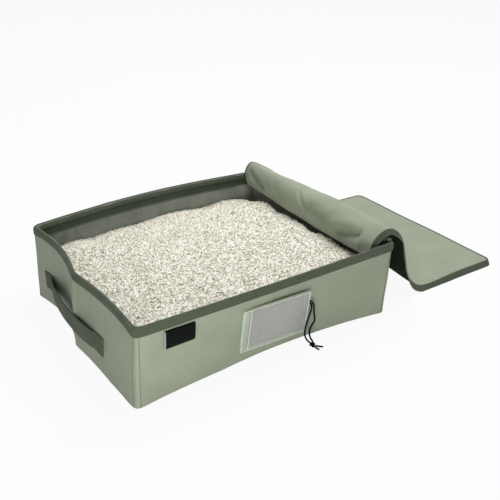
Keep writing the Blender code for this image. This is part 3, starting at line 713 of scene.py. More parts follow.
def wall_relief(place_round, height):
    """How far the walls' cloth stands out, by the distance round and the height."""
    relief = fold_lines(place_round, height, WALL_FOLDS)
    relief += ripples(place_round, height, *WALL_RIPPLES)
    free = 1 - eased(height, WALL_FREE_HIGH, WALL_HELD)
    relief = relief * eased(height, 0.0, WALL_FREE_LOW) * free
    swell = base_swell(place_round) * np.clip(1 - height / TRAY_HEIGHT, 0, 1)
    return np.maximum(relief + swell, -WALL_SINK)


def base_swell(place_round):
    """How far the cloth swells out at the base, by the distance round."""
    points = [(ring_place(side, share), out) for side in SIDES for share, out in BASE_SWELL[side]]
    places, outs = np.transpose(points)
    return np.interp(place_round, places, outs, period=RING_LENGTH)


def make_walls():
    """Four cloth walls cut from one softened ring, the base and the corners' seams."""
    outer, inner = [], []
    for height in WALL_LEVELS:
        lift = min(height, BASE_EDGE_RADIUS)
        tuck = BASE_EDGE_RADIUS - (BASE_EDGE_RADIUS ** 2 - (BASE_EDGE_RADIUS - lift) ** 2) ** 0.5
        relief = wall_relief(RING_PLACE, np.full(RING_STEPS, height))
        loop = ring(height, tuck)
        outer.append(raised(loop, relief))
        inner.append(ring(height, tuck + FABRIC) + outward(loop) * np.minimum(relief, 0)[:, None])
    outer, inner = (closed_round(np.array(grid)) for grid in (outer, inner))
    uv = measured(outer)
    for side in SIDES:
        start = SIDE_STARTS[side]
        cut = slice(start, start + SIDE_STEPS[side] + 1)
        wall = cloth(f"wall_{side}", outer[:, cut], inner[:, cut], uv[:, cut], SAGE)
        place(wall, "tray", "sage_fabric", f"outer_{side}")
    inset = BASE_EDGE_RADIUS + BASE_LEVELS[0]
    swell = outward(ring(0.0, 0.0)) * base_swell(RING_PLACE)[:, None]
    base = shell("base_cloth", [ring(height, inset) + swell for height in BASE_LEVELS], SAGE)
    place(base, "tray", "sage_fabric", "outer_base")
    make_corner_seams()


def make_corner_seams():
    """The two upright seams that stand on either side of each corner, in sage darkened as painted shade.
    """
    facings = outward(ring(TRAY_HEIGHT / 2, 0.0))
    climb = np.linspace(0, 1, CORNER_SEAM_STEPS)[:, None]
    section = rounded_section(CORNER_SEAM, CORNER_SEAM, 3)
    for side in SIDES:
        length = TRAY_LENGTH if side in ("front", "back") else TRAY_WIDTH
        for end in (0, 1):
            shares = [abs(end - away / length) for away in CORNER_SEAM_PLACES]
            lower, upper = (wall_patch(side, share, share, CORNER_SEAM_BOTTOM, BINDING_SECTION[0][1],
                                       LIFT, steps=(1, CORNER_SEAM_STEPS))[:, 0] for share in shares)
            at = round(SIDE_STARTS[side] + shares[0] * SIDE_STEPS[side])
            seam = sweep(f"corner_seam_{side}_{end + 1}", lower + (upper - lower) * climb,
                         facings[at % RING_STEPS], section, SEAM_PAINTED_SHADE)
            place(seam, "tray", "sage_fabric")


# The rim binding: a tape folded over the rim. Points are (depth inwards, height)
BINDING_SECTION = (
    (-0.0013, 0.1150), (-0.0018, 0.1158), (-0.0015, 0.1175), (-0.0019, 0.1200), (-0.0019, 0.1230),
    (-0.0014, 0.1260), (-0.0003, 0.1284), (0.0010, 0.1296), (0.0022, 0.1298), (0.0036, 0.1293),
    (0.0048, 0.1276), (0.0057, 0.1252), (0.0062, 0.1230), (0.0063, 0.1212), (0.0064, 0.1203),
    (0.0060, 0.1200), (0.0051, 0.1201), (0.0046, 0.1262), (0.0031, 0.1286), (0.0007, 0.1286),
    (-0.0003, 0.1262), (-0.0003, 0.1150))
BINDING_STITCH = (-0.0019, 0.1170)
# The tape's lower edge stands higher along the left wall: by how much, for the points between which
# heights, and over how many steps from the wall's ends
BINDING_LEFT_RISE = 0.0028
BINDING_RISE_FROM = 0.120
BINDING_RISE_FULL = 0.117
BINDING_RISE_STEPS = 14
BINDING_RIPPLES = (5, 0.05, 0.00022)


def binding_ring(depth, height):
    """A ring of the binding, whose lower edge stands higher along the left wall."""
    loop = ring(height, depth)
    steps = np.arange(RING_STEPS) - SIDE_STARTS["left"]
    left = eased(np.minimum(steps, SIDE_STEPS["left"] - steps), 0, BINDING_RISE_STEPS)
    loop[:, 2] += BINDING_LEFT_RISE * left * eased(-height, -BINDING_RISE_FROM, -BINDING_RISE_FULL)
    return loop


def make_binding():
    """The olive tape round the rim, with its row of stitches."""
    rings = []
    for depth, height in BINDING_SECTION:
        soft = ripples(RING_PLACE, np.full(RING_STEPS, height), *BINDING_RIPPLES)
        rings.append(raised(binding_ring(depth, height), soft))
    place(shell("rim_tape", rings, OLIVE_TAPE, joined=True), "tray", "olive_binding", "rim_binding")
    row = binding_ring(*BINDING_STITCH)
    place(stitches("rim_stitches", row, outward(row)), "tray", "olive_binding")


# The zip on the tray, from the front right corner round the left side to the back right corner
ZIP_TAPE_SECTION = ((0.0051, 0.1197), (0.0053, 0.1168), (0.0059, 0.1143), (0.0070, 0.1119),
                    (0.0081, 0.1098), (0.0088, 0.1100), (0.0077, 0.1122), (0.0066, 0.1146),
                    (0.0061, 0.1169), (0.0059, 0.1197))
ZIP_RIB_PLACES = ((0.0060, 0.1158), (0.0074, 0.1117))
ZIP_TAPE_START = 0.03
COIL_DEPTH = 0.0090
COIL_HEIGHT = 0.1084
COIL_RADIUS = 0.0011
TOOTH_PITCH = 0.0016
TOOTH = 0.0009
TOOTH_DEPTH = 0.00209
ZIP_CORE = 0.0012


def zip_part(loop, first_share=1 - ZIP_SHARE):
    """The part of a ring that carries the zip, in one run."""
    start = int(SIDE_STARTS["back"] + first_share * SIDE_STEPS["back"])
    end = int(RING_STEPS + ZIP_SHARE * SIDE_STEPS["front"])
    return loop[np.arange(start, end + 1) % len(loop)]


def make_zip():
    """The zip's tape, its ribs of thread and its coil of teeth."""
    loops = [zip_part(ring(height, depth), ZIP_TAPE_START) for depth, height in ZIP_TAPE_SECTION]
    tape = shell("zip_tape", np.stack(loops, axis=1), ZIP_CLOTH)
    place(tape, "tray", "zip_nylon", "box_zip_tape")
    for number, (depth, height) in enumerate(ZIP_RIB_PLACES, 1):
        loop = ring(height, depth + LIFT)
        run, facing = (zip_part(values, ZIP_TAPE_START) for values in (loop, -outward(loop)))
        place(stitches(f"zip_rib_{number}", run, facing), "tray", "zip_nylon")
    loop = ring(COIL_HEIGHT, COIL_DEPTH)
    route, away = zip_part(loop), zip_part(outward(loop))
    places = np.arange(TOOTH_PITCH / 2, route_places(route)[-1], TOOTH_PITCH)
    middle, side = on_route(route, route, places), on_route(route, away, places)
    half = COIL_RADIUS * np.array(UP)
    teeth = bars("zip_teeth", middle - half, middle + half, side, TOOTH, TOOTH_DEPTH, NYLON)
    place(teeth, "tray", "zip_nylon", "box_zip_coil")
    core = sweep("zip_core", route, UP, rounded_section(ZIP_CORE, ZIP_CORE), NYLON)
    place(core, "tray", "zip_nylon")


# The liner
LINER_LEVELS = np.linspace(FLOOR_TOP, FABRIC_TOP, 34)
back_left = ring_place("left", 0.0)
back_right = ring_place("back", 0.0)
LINER_FOLDS = (
    # The back left corner's crossed folds, and the bulge at the back right corner
    ((back_left - 0.038, 0.112), (back_left - 0.006, 0.070), 0.0040, 0.0062),
    ((back_left - 0.016, 0.112), (back_left + 0.014, 0.078), 0.0036, 0.0050),
    ((back_left + 0.012, 0.110), (back_left + 0.030, 0.080), 0.0050, 0.0040),
    ((back_left + 0.045, 0.108), (back_left + 0.040, 0.080), 0.0050, 0.0026),
    ((back_left - 0.064, 0.112), (back_left - 0.050, 0.080), 0.0042, 0.0042),
    ((back_left - 0.105, 0.112), (back_left - 0.100, 0.080), 0.0060, 0.0016),
    ((back_right + 0.022, 0.106), (back_right + 0.020, 0.070), 0.0130, 0.0085),
    ((back_right + 0.060, 0.108), (back_right + 0.070, 0.080), 0.0060, 0.0018),
)
LINER_RIPPLES = (21, 0.030, 0.0008)
# Heights count this much in the wrinkles, which so run upright
LINER_STRETCH = 0.35
# Between these heights the zip comes to hold the liner, and below the last it is held by the floor
LINER_FREE_TOP = 0.104
LINER_HELD_TOP = 0.112
LINER_FOOT = 0.020
LINER_PASSES = 3


def make_liner():
    """The liner: a closed cup of thin coated cloth, wrinkled towards the litter."""
    outer = [ring(height, LINER_DEPTH) for height in (LINER_BOTTOM, *LINER_LEVELS[1:])]
    inner = []
    for height in LINER_LEVELS[::-1]:
        level = np.full(RING_STEPS, height)
        fold = fold_lines(RING_PLACE, level, LINER_FOLDS)
        fold += np.abs(ripples(RING_PLACE, level * LINER_STRETCH, *LINER_RIPPLES))
        free = (1 - eased(level, LINER_FREE_TOP, LINER_HELD_TOP)) * eased(level, 0.0, LINER_FOOT)
        inner.append(softened(raised(ring(height, LINER_INSIDE), -fold * free), LINER_PASSES))
    place(shell("liner_cloth", [*outer, *inner], LINER_CLOTH), "tray", "liner_coating", "liner")


# The litter
LITTER_EDGE = 0.0800
LITTER_MOUND = 0.0150
LITTER_SHARES = np.concatenate([[1.0, 0.985], np.linspace(0.965, 0.03, 60)])
LITTER_BED_DROP = 0.0015
# Where the litter falls away under the lid: (across, along) points of its brink
LITTER_BRINK = ((-0.190, 0.211), (-0.130, 0.210), (-0.106, 0.202), (-0.073, 0.206), (-0.044, 0.204),
                (-0.030, 0.194), (0.013, 0.199), (0.050, 0.203), (0.070, 0.192), (0.103, 0.201),
                (0.132, 0.197), (0.145, 0.186), (0.190, 0.182))
LITTER_FALL = 0.017
LITTER_FALL_WIDTH = 0.012
# (share along, share across, width, height), as in part.py
LITTER_HEAPS = (
    (0.43, 0.27, 0.050, 0.012), (0.43, 0.03, 0.050, 0.011), (0.43, -0.20, 0.050, 0.011),
    (0.43, -0.36, 0.030, 0.006), (0.34, 0.46, 0.030, 0.004), (0.08, 0.47, 0.040, 0.005),
    (-0.34, 0.45, 0.025, 0.005), (-0.27, 0.44, 0.020, -0.005), (-0.36, -0.28, 0.040, 0.004))
GRAIN_COUNT = 19000
GRAIN_RADIUS = 0.00145
GRAIN_SIDES = (0.62, 1.25)
GRAIN_CORNERS = (0.82, 1.12)
GRAIN_LIFTS = (-0.0006, 0.0011)
GRAIN_REACH_SHARE = 0.995
LITTER_RIPPLES = ((31, 0.050, 0.0008), (32, 0.012, 0.0005))
litter_edge = ring(LITTER_EDGE, LINER_INSIDE + CLEARANCE)
litter_middle = litter_edge.mean(axis=0)


def litter_share(x, y):
    """How far a place is from the litter's middle, as a share of the way to the liner."""
    step = litter_edge[:, :2] - litter_middle[:2]
    turn = np.arctan2(step[:, 1], step[:, 0])
    order = np.argsort(turn)
    reach = np.hypot(step[:, 0], step[:, 1])
    dx, dy = x - litter_middle[0], y - litter_middle[1]
    limit = np.interp(np.arctan2(dy, dx), turn[order], reach[order], period=2 * pi)
    return np.hypot(dx, dy) / limit


def litter_height(x, y):
    """The height of the litter's surface."""
    height = LITTER_EDGE + LITTER_MOUND * (1 - np.clip(litter_share(x, y), 0, 1) ** 3)
    for along, across, width, lift in LITTER_HEAPS:
        away = (x - along * TRAY_LENGTH) ** 2 + (y - across * TRAY_WIDTH) ** 2
        height = height + lift * np.exp(-away / width ** 2)
    brink = np.interp(y, *np.transpose(LITTER_BRINK))
    height = height - LITTER_FALL * eased(x, brink, brink + LITTER_FALL_WIDTH)
    for waves in LITTER_RIPPLES:
        height = height + ripples(x, y, *waves)
    return height - LITTER_BED_DROP


def make_litter():
    """The bed of litter and the loose grains that cover it."""
    rings = [ring(FLOOR_TOP + CLEARANCE, LINER_INSIDE + CLEARANCE)]
    for share in LITTER_SHARES:
        loop = litter_middle + (litter_edge - litter_middle) * share
        loop[:, 2] = litter_height(loop[:, 0], loop[:, 1])
        rings.append(loop)
    place(shell("litter_bed", rings, GRAINS), "tray", "litter_grains", "litter")
    random = np.random.default_rng(41)
    reach = np.abs(litter_edge - litter_middle).max(axis=0)
    spots = random.uniform(-1, 1, (GRAIN_COUNT, 2)) * reach[:2] + litter_middle[:2]
    spots = spots[litter_share(*spots.T) < GRAIN_REACH_SHARE]
    make_grains(spots, random)


def make_grains(spots, random):
    """One mesh of small angular grains lying on the litter at the given places."""
    build = bmesh.new()
    bmesh.ops.create_icosphere(build, subdivisions=1, radius=1.0)
    one = np.array([vertex.co for vertex in build.verts])
    one_faces = np.array([[vertex.index for vertex in face.verts] for face in build.faces])
    build.free()
    count, many = len(spots), len(one)
    turned = (one[None] * random.uniform(*GRAIN_SIDES, (count, 1, 3))
              * random.uniform(*GRAIN_CORNERS, (count, many, 1)))
    axes = np.linalg.qr(random.normal(size=(count, 3, 3)))[0]
    turned = np.einsum("nij,nkj->nki", axes, turned) * GRAIN_RADIUS
    height = litter_height(*spots.T) + random.uniform(*GRAIN_LIFTS, count)
    points = turned + np.column_stack([spots, height])[:, None]
    faces = (one_faces[None] + many * np.arange(count)[:, None, None]).reshape(-1, 3)
    flat = points.reshape(-1, 3)
    grains = add_object("litter_grains", flat, faces.tolist(), flat[faces.reshape(-1), :2], GRAINS)
    grains.data.shade_smooth()
    place(grains, "tray", "litter_grains")


# The lid. Its hinge lines, seen from the front as (x, z), are repeated from part.py
HINGES = np.array(((0.22820, 0.13250), (0.20416, 0.10846), (0.20301, 0.13043), (0.21858, 0.14495),
                   (0.24951, 0.14279), (0.27863, 0.12163), (0.30632, 0.04122), (0.34155, 0.00950),
                   (0.50970, 0.00950)))
# The cloth's own line at the middle, the near end and the far end, in millimetres: a point at each
# hinge and one between each two
LID_MIDDLE = ((228.2, 132.5), (218, 112), (207.5, 100.0), (200.0, 106), (200.5, 121.0), (206.0, 133),
              (216.5, 141.0), (230, 143.2), (245, 141.5), (261.5, 134.5), (278.0, 120.5), (295, 84),
              (306.3, 41.2), (318.5, 21), (341.5, 9.8), (420, 9.3), (509.7, 9.5))
LID_NEAR = ((228.2, 132.5), (219, 114), (208, 103), (200.5, 109), (202.5, 121), (209.5, 133),
            (221.5, 141.5), (233, 144.8), (244.5, 143.5), (257, 135), (271.5, 115), (281.5, 82),
            (290.5, 50), (303.5, 30), (333, 9.8), (420, 9.0), (509.7, 9.5))
LID_FAR = ((228.2, 132.5), (222, 119), (212.5, 107), (205.0, 110), (203.5, 122.5), (206.5, 139.0),
           (217, 148.8), (229, 144.6), (242, 136.5), (257, 127.0), (274.0, 113.5), (295, 84),
           (306.3, 41.2), (318.5, 21), (341.5, 10.5), (420, 10.2), (509.7, 9.5))
LID_NEAR_Y = -0.1765
LID_FAR_Y = 0.1895
LID_INSIDE_NEAR_Y = -0.1790
LID_INSIDE_FAR_Y = 0.1790
LID_FLOOR_SHIFT = 0.005
LID_ROWS = 128
LID_STEP = 0.0030
LID_CORNER = 0.011
LID_CORNER_STEPS = 7
LID_HALF = 0.0009
LID_NEAR_REACH = 0.075
LID_FAR_REACH = 0.220
# Where along the cloth's points it widens past the rim, and where it shifts on its way down
LID_WIDENS = (2.6, 4.6)
LID_SHIFTS = (9.0, 14.0)
# How far along the cloth it comes down to the floor
LID_FLOOR = (0.275, 0.330)
LID_HANGING_RIPPLES = (51, 0.11, 0.0005)
LID_LYING_RIPPLES = (52, 0.16, 0.0005)
# The hem holds the cloth smooth as far as this
LID_HELD = 0.020
# How much of the way to the next cut a hinge's span reaches, on both sides of the hinge
HINGE_BEND_SHARE = 0.85
LID_FOLDS = (
    # (from (across, along), to, width, height), across from the near edge and along from the hem.
    # The upright crease in the roll's middle, a weaker one beside it and the broad hollow by them
    ((0.214, 0.0927), (0.180, 0.0660), 0.0026, -0.0030),
    ((0.220, 0.0900), (0.189, 0.0650), 0.0050, 0.0010),
    ((0.189, 0.0927), (0.166, 0.0724), 0.0034, -0.0010),
    ((0.170, 0.0640), (0.128, 0.0600), 0.0150, -0.0078),
    ((0.162, 0.0800), (0.135, 0.0880), 0.0100, -0.0022),
    # The wedge near the roll's near end, between a lit fold above and a crisp one at its right
    ((0.098, 0.0700), (0.066, 0.0860), 0.0070, 0.0020),
    ((0.080, 0.0570), (0.040, 0.0720), 0.0090, -0.0092),
    ((0.035, 0.0870), (0.029, 0.0500), 0.0034, 0.0042),
    # The far end's deep crease and the lobe beyond it
    ((0.3480, 0.0720), (0.306, 0.0590), 0.0036, -0.0100),
    ((0.355, 0.0560), (0.342, 0.0640), 0.0080, 0.0012),
    # Soft folds down the far half
    ((0.281, 0.0927), (0.262, 0.0631), 0.0065, -0.0014),
    ((0.312, 0.0900), (0.293, 0.0630), 0.0065, -0.0011),
    ((0.246, 0.0850), (0.232, 0.0600), 0.0080, -0.0012),
)


def lid_columns():
    """Where the columns of the lid's grid are: numbers along its points, two to a stretch."""
    stretches = np.linalg.norm(np.diff(HINGES, axis=0), axis=1)
    columns = []
    for index, length in enumerate(stretches):
        steps = max(3, round(length / 2 / LID_STEP))
        columns += list(2 * index + np.arange(2 * steps) / steps)
    end = 2 * len(stretches)
    corner = LID_CORNER / stretches[-1] * 2
    columns = [column for column in columns if column < end - corner]
    turn = pi / 2 * np.arange(LID_CORNER_STEPS + 1) / LID_CORNER_STEPS
    return np.array(columns + list(end - corner * (1 - np.sin(turn))))


def curve_points(controls, columns):
    """Points on smooth curves through rows of control points, at numbers along them."""
    first = 2 * controls[:, :1] - controls[:, 1:2]
    last = 2 * controls[:, -1:] - controls[:, -2:-1]
    padded = np.concatenate([first, controls, last], axis=1)
    index = np.minimum(columns.astype(int), controls.shape[1] - 2)
    a, b, c, d = (padded[:, index + step] for step in range(4))
    t = (columns - index)[None, :, None]
    ab, bc, cd = (np.linalg.norm(after - before, axis=2, keepdims=True) ** 0.5
                  for before, after in ((a, b), (b, c), (c, d)))
    leave = bc * ((b - a) / ab - (c - a) / (ab + bc) + (c - b) / bc)
    arrive = bc * ((c - b) / bc - (d - b) / (bc + cd) + (d - c) / cd)
    return ((2 * t ** 3 - 3 * t ** 2 + 1) * b + (t ** 3 - 2 * t ** 2 + t) * leave
            + (3 * t ** 2 - 2 * t ** 3) * c + (t ** 3 - t ** 2) * arrive)


def grid_normals(grid):
    """The outward direction at each point of a grid."""
    return unit(np.cross(np.gradient(grid, axis=1), np.gradient(grid, axis=0)))


def lid_surface():
    """The lid's middle surface as a grid: rows across from near to far, columns along from the hem."""
    columns = lid_columns()
    share = np.linspace(0, 1, LID_ROWS)
    width = LID_FAR_Y - LID_NEAR_Y
    near = (1 - eased(share * width, 0.0, LID_NEAR_REACH))[:, None, None]
    far = eased(share * width, width - LID_FAR_REACH, width)[:, None, None]
    keys = [np.array(key) / 1000 for key in (LID_NEAR, LID_MIDDLE, LID_FAR)]
    controls = near * keys[0] + (1 - near - far) * keys[1] + far * keys[2]
    line = curve_points(controls, columns)
    outside = eased(columns, *LID_WIDENS)
    floor = LID_FLOOR_SHIFT * eased(columns, *LID_SHIFTS)
    low = LID_INSIDE_NEAR_Y + (LID_NEAR_Y - LID_INSIDE_NEAR_Y) * outside + floor
    high = LID_INSIDE_FAR_Y + (LID_FAR_Y - LID_INSIDE_FAR_Y) * outside + floor
    beyond = np.clip(1 - (HINGES[-1, 0] - line[0, :, 0]) / LID_CORNER, 0, 1)
    beyond = beyond * (columns > LID_SHIFTS[1])
    round_off = LID_CORNER * (1 - np.sqrt(1 - beyond ** 2))
    low, high = low + round_off, high - round_off
    y = low[None] + (high - low)[None] * share[:, None]
    return np.stack([line[..., 0], y, line[..., 1]], axis=2), columns


def lid_relief(surface):
    """How far the lid's cloth stands out from its smooth surface."""
    uv = measured(surface)
    across, along = uv[..., 1], uv[..., 0]
    floor = eased(along, *LID_FLOOR)
    relief = fold_lines(across, along, LID_FOLDS)
    relief += ripples(across, along, *LID_HANGING_RIPPLES) * (1 - floor)
    relief += ripples(across, along, *LID_LYING_RIPPLES) * floor
    return relief * eased(along, 0.0, LID_HELD)


def hinge_span(surface, columns, hinge):
    """Two points symmetrical about a hinge, part of the way to the cuts on either side of it."""
    at = HINGES[hinge]
    before = HINGES[hinge - 1] if hinge else at - (HINGES[1] - at) * (1, -1)
    direction = HINGES[hinge + 1] - before
    direction /= np.linalg.norm(direction)
    reach = []
    for number in (2 * hinge - 1, 2 * hinge + 1):
        if number > 0:
            cut = surface[:, np.argmin(np.abs(columns - number))][:, (0, 2)]
            reach.append(np.abs((cut - at) @ direction).min())
    step = HINGE_BEND_SHARE * min(reach) * direction
    return (at[0] - step[0], 0, at[1] - step[1]), (at[0] + step[0], 0, at[1] + step[1])


def hold_lid(obj, part, spans):
    """Puts the last part of the lid all on one body, and bakes any other piece's placement into its
    points. The spans are not used.
    """
    if part == len(spans):
        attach(obj, f"lid_{part}")
    else:
        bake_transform(obj)


# The lid's edge tape, as (outwards, up) points of its outer side from the cloth's edge. The last
# points are stretched to the tape's width
EDGE_TAPE = ((-0.0026, 0.00095), (-0.0020, 0.0016), (-0.0008, 0.0017), (0.0004, 0.0013),
             (0.0011, 0.0004), (0.0017, -0.0012), (0.0028, -0.0040), (0.0045, -0.0088))
EDGE_TAPE_THICK = 0.0009
EDGE_TAPE_FLOOR = 0.0088
EDGE_TAPE_ROLL = 0.0072
EDGE_TAPE_CURL = 0.7
EDGE_TAPE_LOWEST = 0.0002
# Where along the cloth's points the tape comes out of the rim, turns under and widens for the floor
TAPE_STARTS = (3.0, 5.0)
TAPE_START_SHARE = 0.25
TAPE_TURNS_UNDER = (8.5, 10.5)
TAPE_TURNS_BACK = (12.2, 13.8)
TAPE_WIDENS = (9.5, 13.5)


def tape_grids(path, normals, widths):
    """The outer and inner grids of the edge tape along a border path."""
    side, up = directions(path, normals)
    section = np.array(EDGE_TAPE)
    inside = moved_right(section, EDGE_TAPE_THICK)
    grids = []
    for points, lowest in ((section, EDGE_TAPE_LOWEST), (inside, EDGE_TAPE_THICK)):
        drop = np.where(points[:, 1] < 0, widths[:, None] / EDGE_TAPE_FLOOR, 1.0) * points[:, 1]
        grid = path[:, None] + points[None, :, :1] * side[:, None] + drop[..., None] * up[:, None]
        grid[..., 2] = np.maximum(grid[..., 2], lowest)
        grids.append(grid.transpose(1, 0, 2))
    return grids


def make_lid():
    """The lid's cloth and its edge tape, cut at the middle of each stretch."""
    surface, columns = lid_surface()
    normals = grid_normals(surface)
    surface = surface + normals * lid_relief(surface)[..., None]
    normals = grid_normals(surface)
    uv = measured(surface)
    outer, inner = surface + normals * LID_HALF, surface - normals * LID_HALF
    parts = len(HINGES) - 1
    spans = [hinge_span(surface, columns, hinge) for hinge in range(parts)]
    cuts = [int(np.argmin(np.abs(columns - number))) for number in range(1, 2 * parts, 2)]
    cuts = [0, *cuts, len(columns) - 1]
    for part, (first, last) in enumerate(zip(cuts, cuts[1:])):
        cut = slice(first, last + 1)
        # The lid's inner side takes the near-black painted shade
        piece = cloth(f"lid_cloth_{part}", outer[:, cut], inner[:, cut], uv[:, cut], SAGE,
                      normals[:, cut], LID_PAINTED_SHADE)
        hold_lid(piece, part, spans)
        if part:
            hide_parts(f"lid_panel_{part}")
    make_lid_tape(surface, normals, columns, cuts, spans)


def edge_tape(name, path, up, widths, part, spans):
    """One length of the lid's edge tape, held like the cloth beside it."""
    outer, inner = tape_grids(path, up, widths)
    tape = cloth(name, outer[::-1], inner[::-1], measured(outer), OLIVE_TAPE)
    hold_lid(tape, part, spans)
    return tape


def make_lid_tape(surface, normals, columns, cuts, spans):
    """The tape along both long edges and, in one run, round the end that lies on the floor."""
    parts = len(spans)
    curled = eased(columns, *TAPE_TURNS_UNDER) * (1 - eased(columns, *TAPE_TURNS_BACK))
    width = EDGE_TAPE_ROLL + (EDGE_TAPE_FLOOR - EDGE_TAPE_ROLL) * eased(columns, *TAPE_WIDENS)
    width = width * (TAPE_START_SHARE + (1 - TAPE_START_SHARE) * eased(columns, *TAPE_STARTS))
    width = width * (1 - EDGE_TAPE_CURL * curled)
    for part in range(2, parts):
        cut = slice(cuts[part], cuts[part + 1] + 1)
        for row, name in ((0, "front"), (-1, "back")):
            turned = slice(None) if row == 0 else slice(None, None, -1)
            tape = edge_tape(f"lid_edge_{part}_{name}", surface[row, cut][turned],
                             normals[row, cut][turned], width[cut][turned], part, spans)
            if part > 2:
                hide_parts(f"lid_tape_{part}_{name}")
    first = cuts[parts]
    path, up = (np.concatenate([grid[0, first:-1], grid[:, -1], grid[-1, first:-1][::-1]])
                for grid in (surface, normals))
    tape = edge_tape("lid_edge_end", path, up, np.full(len(path), EDGE_TAPE_FLOOR), parts, spans)
    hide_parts("lid_tape_8")


HEM_NEAR_Y = -0.186
HEM_FAR_Y = 0.188
HEM_X = 0.2321
HEM_Z = 0.1325
HEM_WIDTH = 0.0078
HEM_THICK = 0.0040
HEM_SWAY = (61, 0.06, 0.0003)
HEM_STITCH_ROWS = (-0.0018, 0.0018)


def make_hem():
    """The hem that joins the lid to the right rim, with two rows of stitches."""
    y = np.linspace(HEM_NEAR_Y, HEM_FAR_Y, 90)
    sway = ripples(y, y * 0, *HEM_SWAY)
    route = np.stack([HEM_X + sway, y, np.full_like(y, HEM_Z)], axis=1)
    hem = sweep("hem_strip", route, UP, rounded_section(HEM_WIDTH, HEM_THICK, 5), OLIVE_TAPE)
    place(hem, "tray", "sage_fabric", "lid_hem")
    for number, step in enumerate(HEM_STITCH_ROWS, 1):
        row = route + np.array((step, 0, HEM_THICK / 2))
        place(stitches(f"hem_stitches_{number}", row, UP), "tray", "sage_fabric")


# The handles, repeated from part.py: the strap's middle at its top edge, and its direction
HANDLES = {"left": ((-0.21917, 0.04091), (0.04964, 0.99877), -1),
           "right": ((0.23028, 0.04072), (-0.00504, 0.99999), 1)}
HANDLE_OFFSET_SHARE = 0.108
STRAP_SPAN_SHARE = 0.516
STRAP_HALF_SPAN = 0.0964
# The straps hang lower than in part.py, nearer the front and further out
STRAP_TOP = 0.0605
HANDLE_SHIFT = -0.0085
STRAP_SLACK = 0.0030
STRAP_WIDTH = 0.030
STRAP_RISE = 0.002
STRAP_STANDOFF = 0.0135
STRAP_THICK = 0.0018
STRAP_STEPS = 64
STRAP_CUP = 0.0012
STRAP_ROUNDNESS = 0.6
TAB_LENGTH = 0.026


def strap_grid(middle, along, out):
    """The strap's outer side: rows up its width, columns along it."""
    t = np.linspace(0, 1, STRAP_STEPS + 1)
    lean = np.sin(pi * t)
    start = np.array([*middle, STRAP_TOP]) - STRAP_HALF_SPAN * along
    top = start + 2 * STRAP_HALF_SPAN * t[:, None] * along
    top += STRAP_STANDOFF * lean[:, None] ** STRAP_ROUNDNESS * out
    top[:, 2] += STRAP_RISE * lean
    down = np.linspace(1, 0, 9)[:, None, None]
    cup = STRAP_CUP * np.sin(pi * down) * lean[None, :, None]
    return top[None] - down * np.array((0, 0, STRAP_WIDTH)) + cup * out


def wall_patch(side, low_share, high_share, low, high, lift, steps=(12, 12)):
    """A grid that lies on a wall, lift outside its cloth: columns anticlockwise, rows upwards."""
    shares = np.linspace(low_share, high_share, steps[0])
    rows = []
    for height in np.linspace(low, high, steps[1]):
        on_ring = SIDE_STARTS[side] + shares * SIDE_STEPS[side]
        relief = wall_relief(RING_PLACE, np.full(RING_STEPS, height))
        loop = raised(ring(height, 0.0), relief + lift)
        rows.append(np.stack([np.interp(on_ring, np.arange(RING_STEPS), loop[:, axis])
                              for axis in range(3)], axis=1))
    return np.array(rows)


def make_handles():
    """Two webbing straps and the four ends sewn to the walls."""
    for name, (middle, direction, way) in HANDLES.items():
        along = np.array((*direction, 0.0))
        out = way * np.array((direction[1], -direction[0], 0.0))
        outer = strap_grid(middle, along, out) + HANDLE_SHIFT * along + STRAP_SLACK * out
        inner = outer - out * STRAP_THICK
        if way < 0:
            outer, inner = outer[:, ::-1], inner[:, ::-1]
        strap = cloth(f"strap_{name}", outer, inner, measured(outer), OLIVE_WEBBING)
        place(strap, f"{name}_handle", "olive_webbing", f"handle_{name}_strap")
        make_tabs(name, way)


def make_tabs(side, way):
    """The sewn ends of one handle, each with a crossed box of stitches."""
    length = TAB_LENGTH / TRAY_WIDTH
    middle = 0.5 + way * (HANDLE_OFFSET_SHARE + HANDLE_SHIFT / TRAY_WIDTH)
    starts = {"a": middle - STRAP_SPAN_SHARE / 2 - length, "b": middle + STRAP_SPAN_SHARE / 2}
    low, high = STRAP_TOP - STRAP_WIDTH, STRAP_TOP
    for letter, first in starts.items():
        outer, inner = (wall_patch(side, first, first + length, low, high, lift)
                        for lift in (STRAP_THICK + 2 * LIFT, LIFT))
        tab = cloth(f"tab_{side}_{letter}", outer, inner, measured(outer), OLIVE_WEBBING)
        place(tab, "tray", "olive_webbing", f"handle_{side}_tab_{letter}")
        box = [outer[1, 1], outer[1, -2], outer[-2, -2], outer[-2, 1], outer[1, 1], outer[-2, -2],
               outer[-2, 1], outer[1, -2]]
        route = np.concatenate([np.linspace(a, b, 12)[:-1] for a, b in zip(box, box[1:])])
        row = stitches(f"tab_stitches_{side}_{letter}", route, (way, 0.0, 0.0))
        place(row, "tray", "olive_webbing")


# The folded label, bare. Its section is (outwards, height under its top)
LABEL_LEFT = 0.0450
LABEL_LENGTH = 0.046
LABEL_TOP = 0.1116
LABEL_DROP = 0.028
LABEL_SECTION = ((0.0004, 0.0), (0.0003, 0.014), (0.0006, 0.0255), (0.0014, 0.0278), (0.0026, 0.0280),
                 (0.0036, 0.0262), (0.0041, 0.020), (0.0040, 0.010), (0.0030, 0.0))
LABEL_THICK = 0.0007
# The pale back's edge: its width and thickness, and where it stands beside the fold
LABEL_EDGE = (0.0034, 0.0030)
LABEL_EDGE_ASIDE = 0.0006
LABEL_EDGE_OUT = 0.0020
LABEL_EDGE_BOTTOM = 0.0272


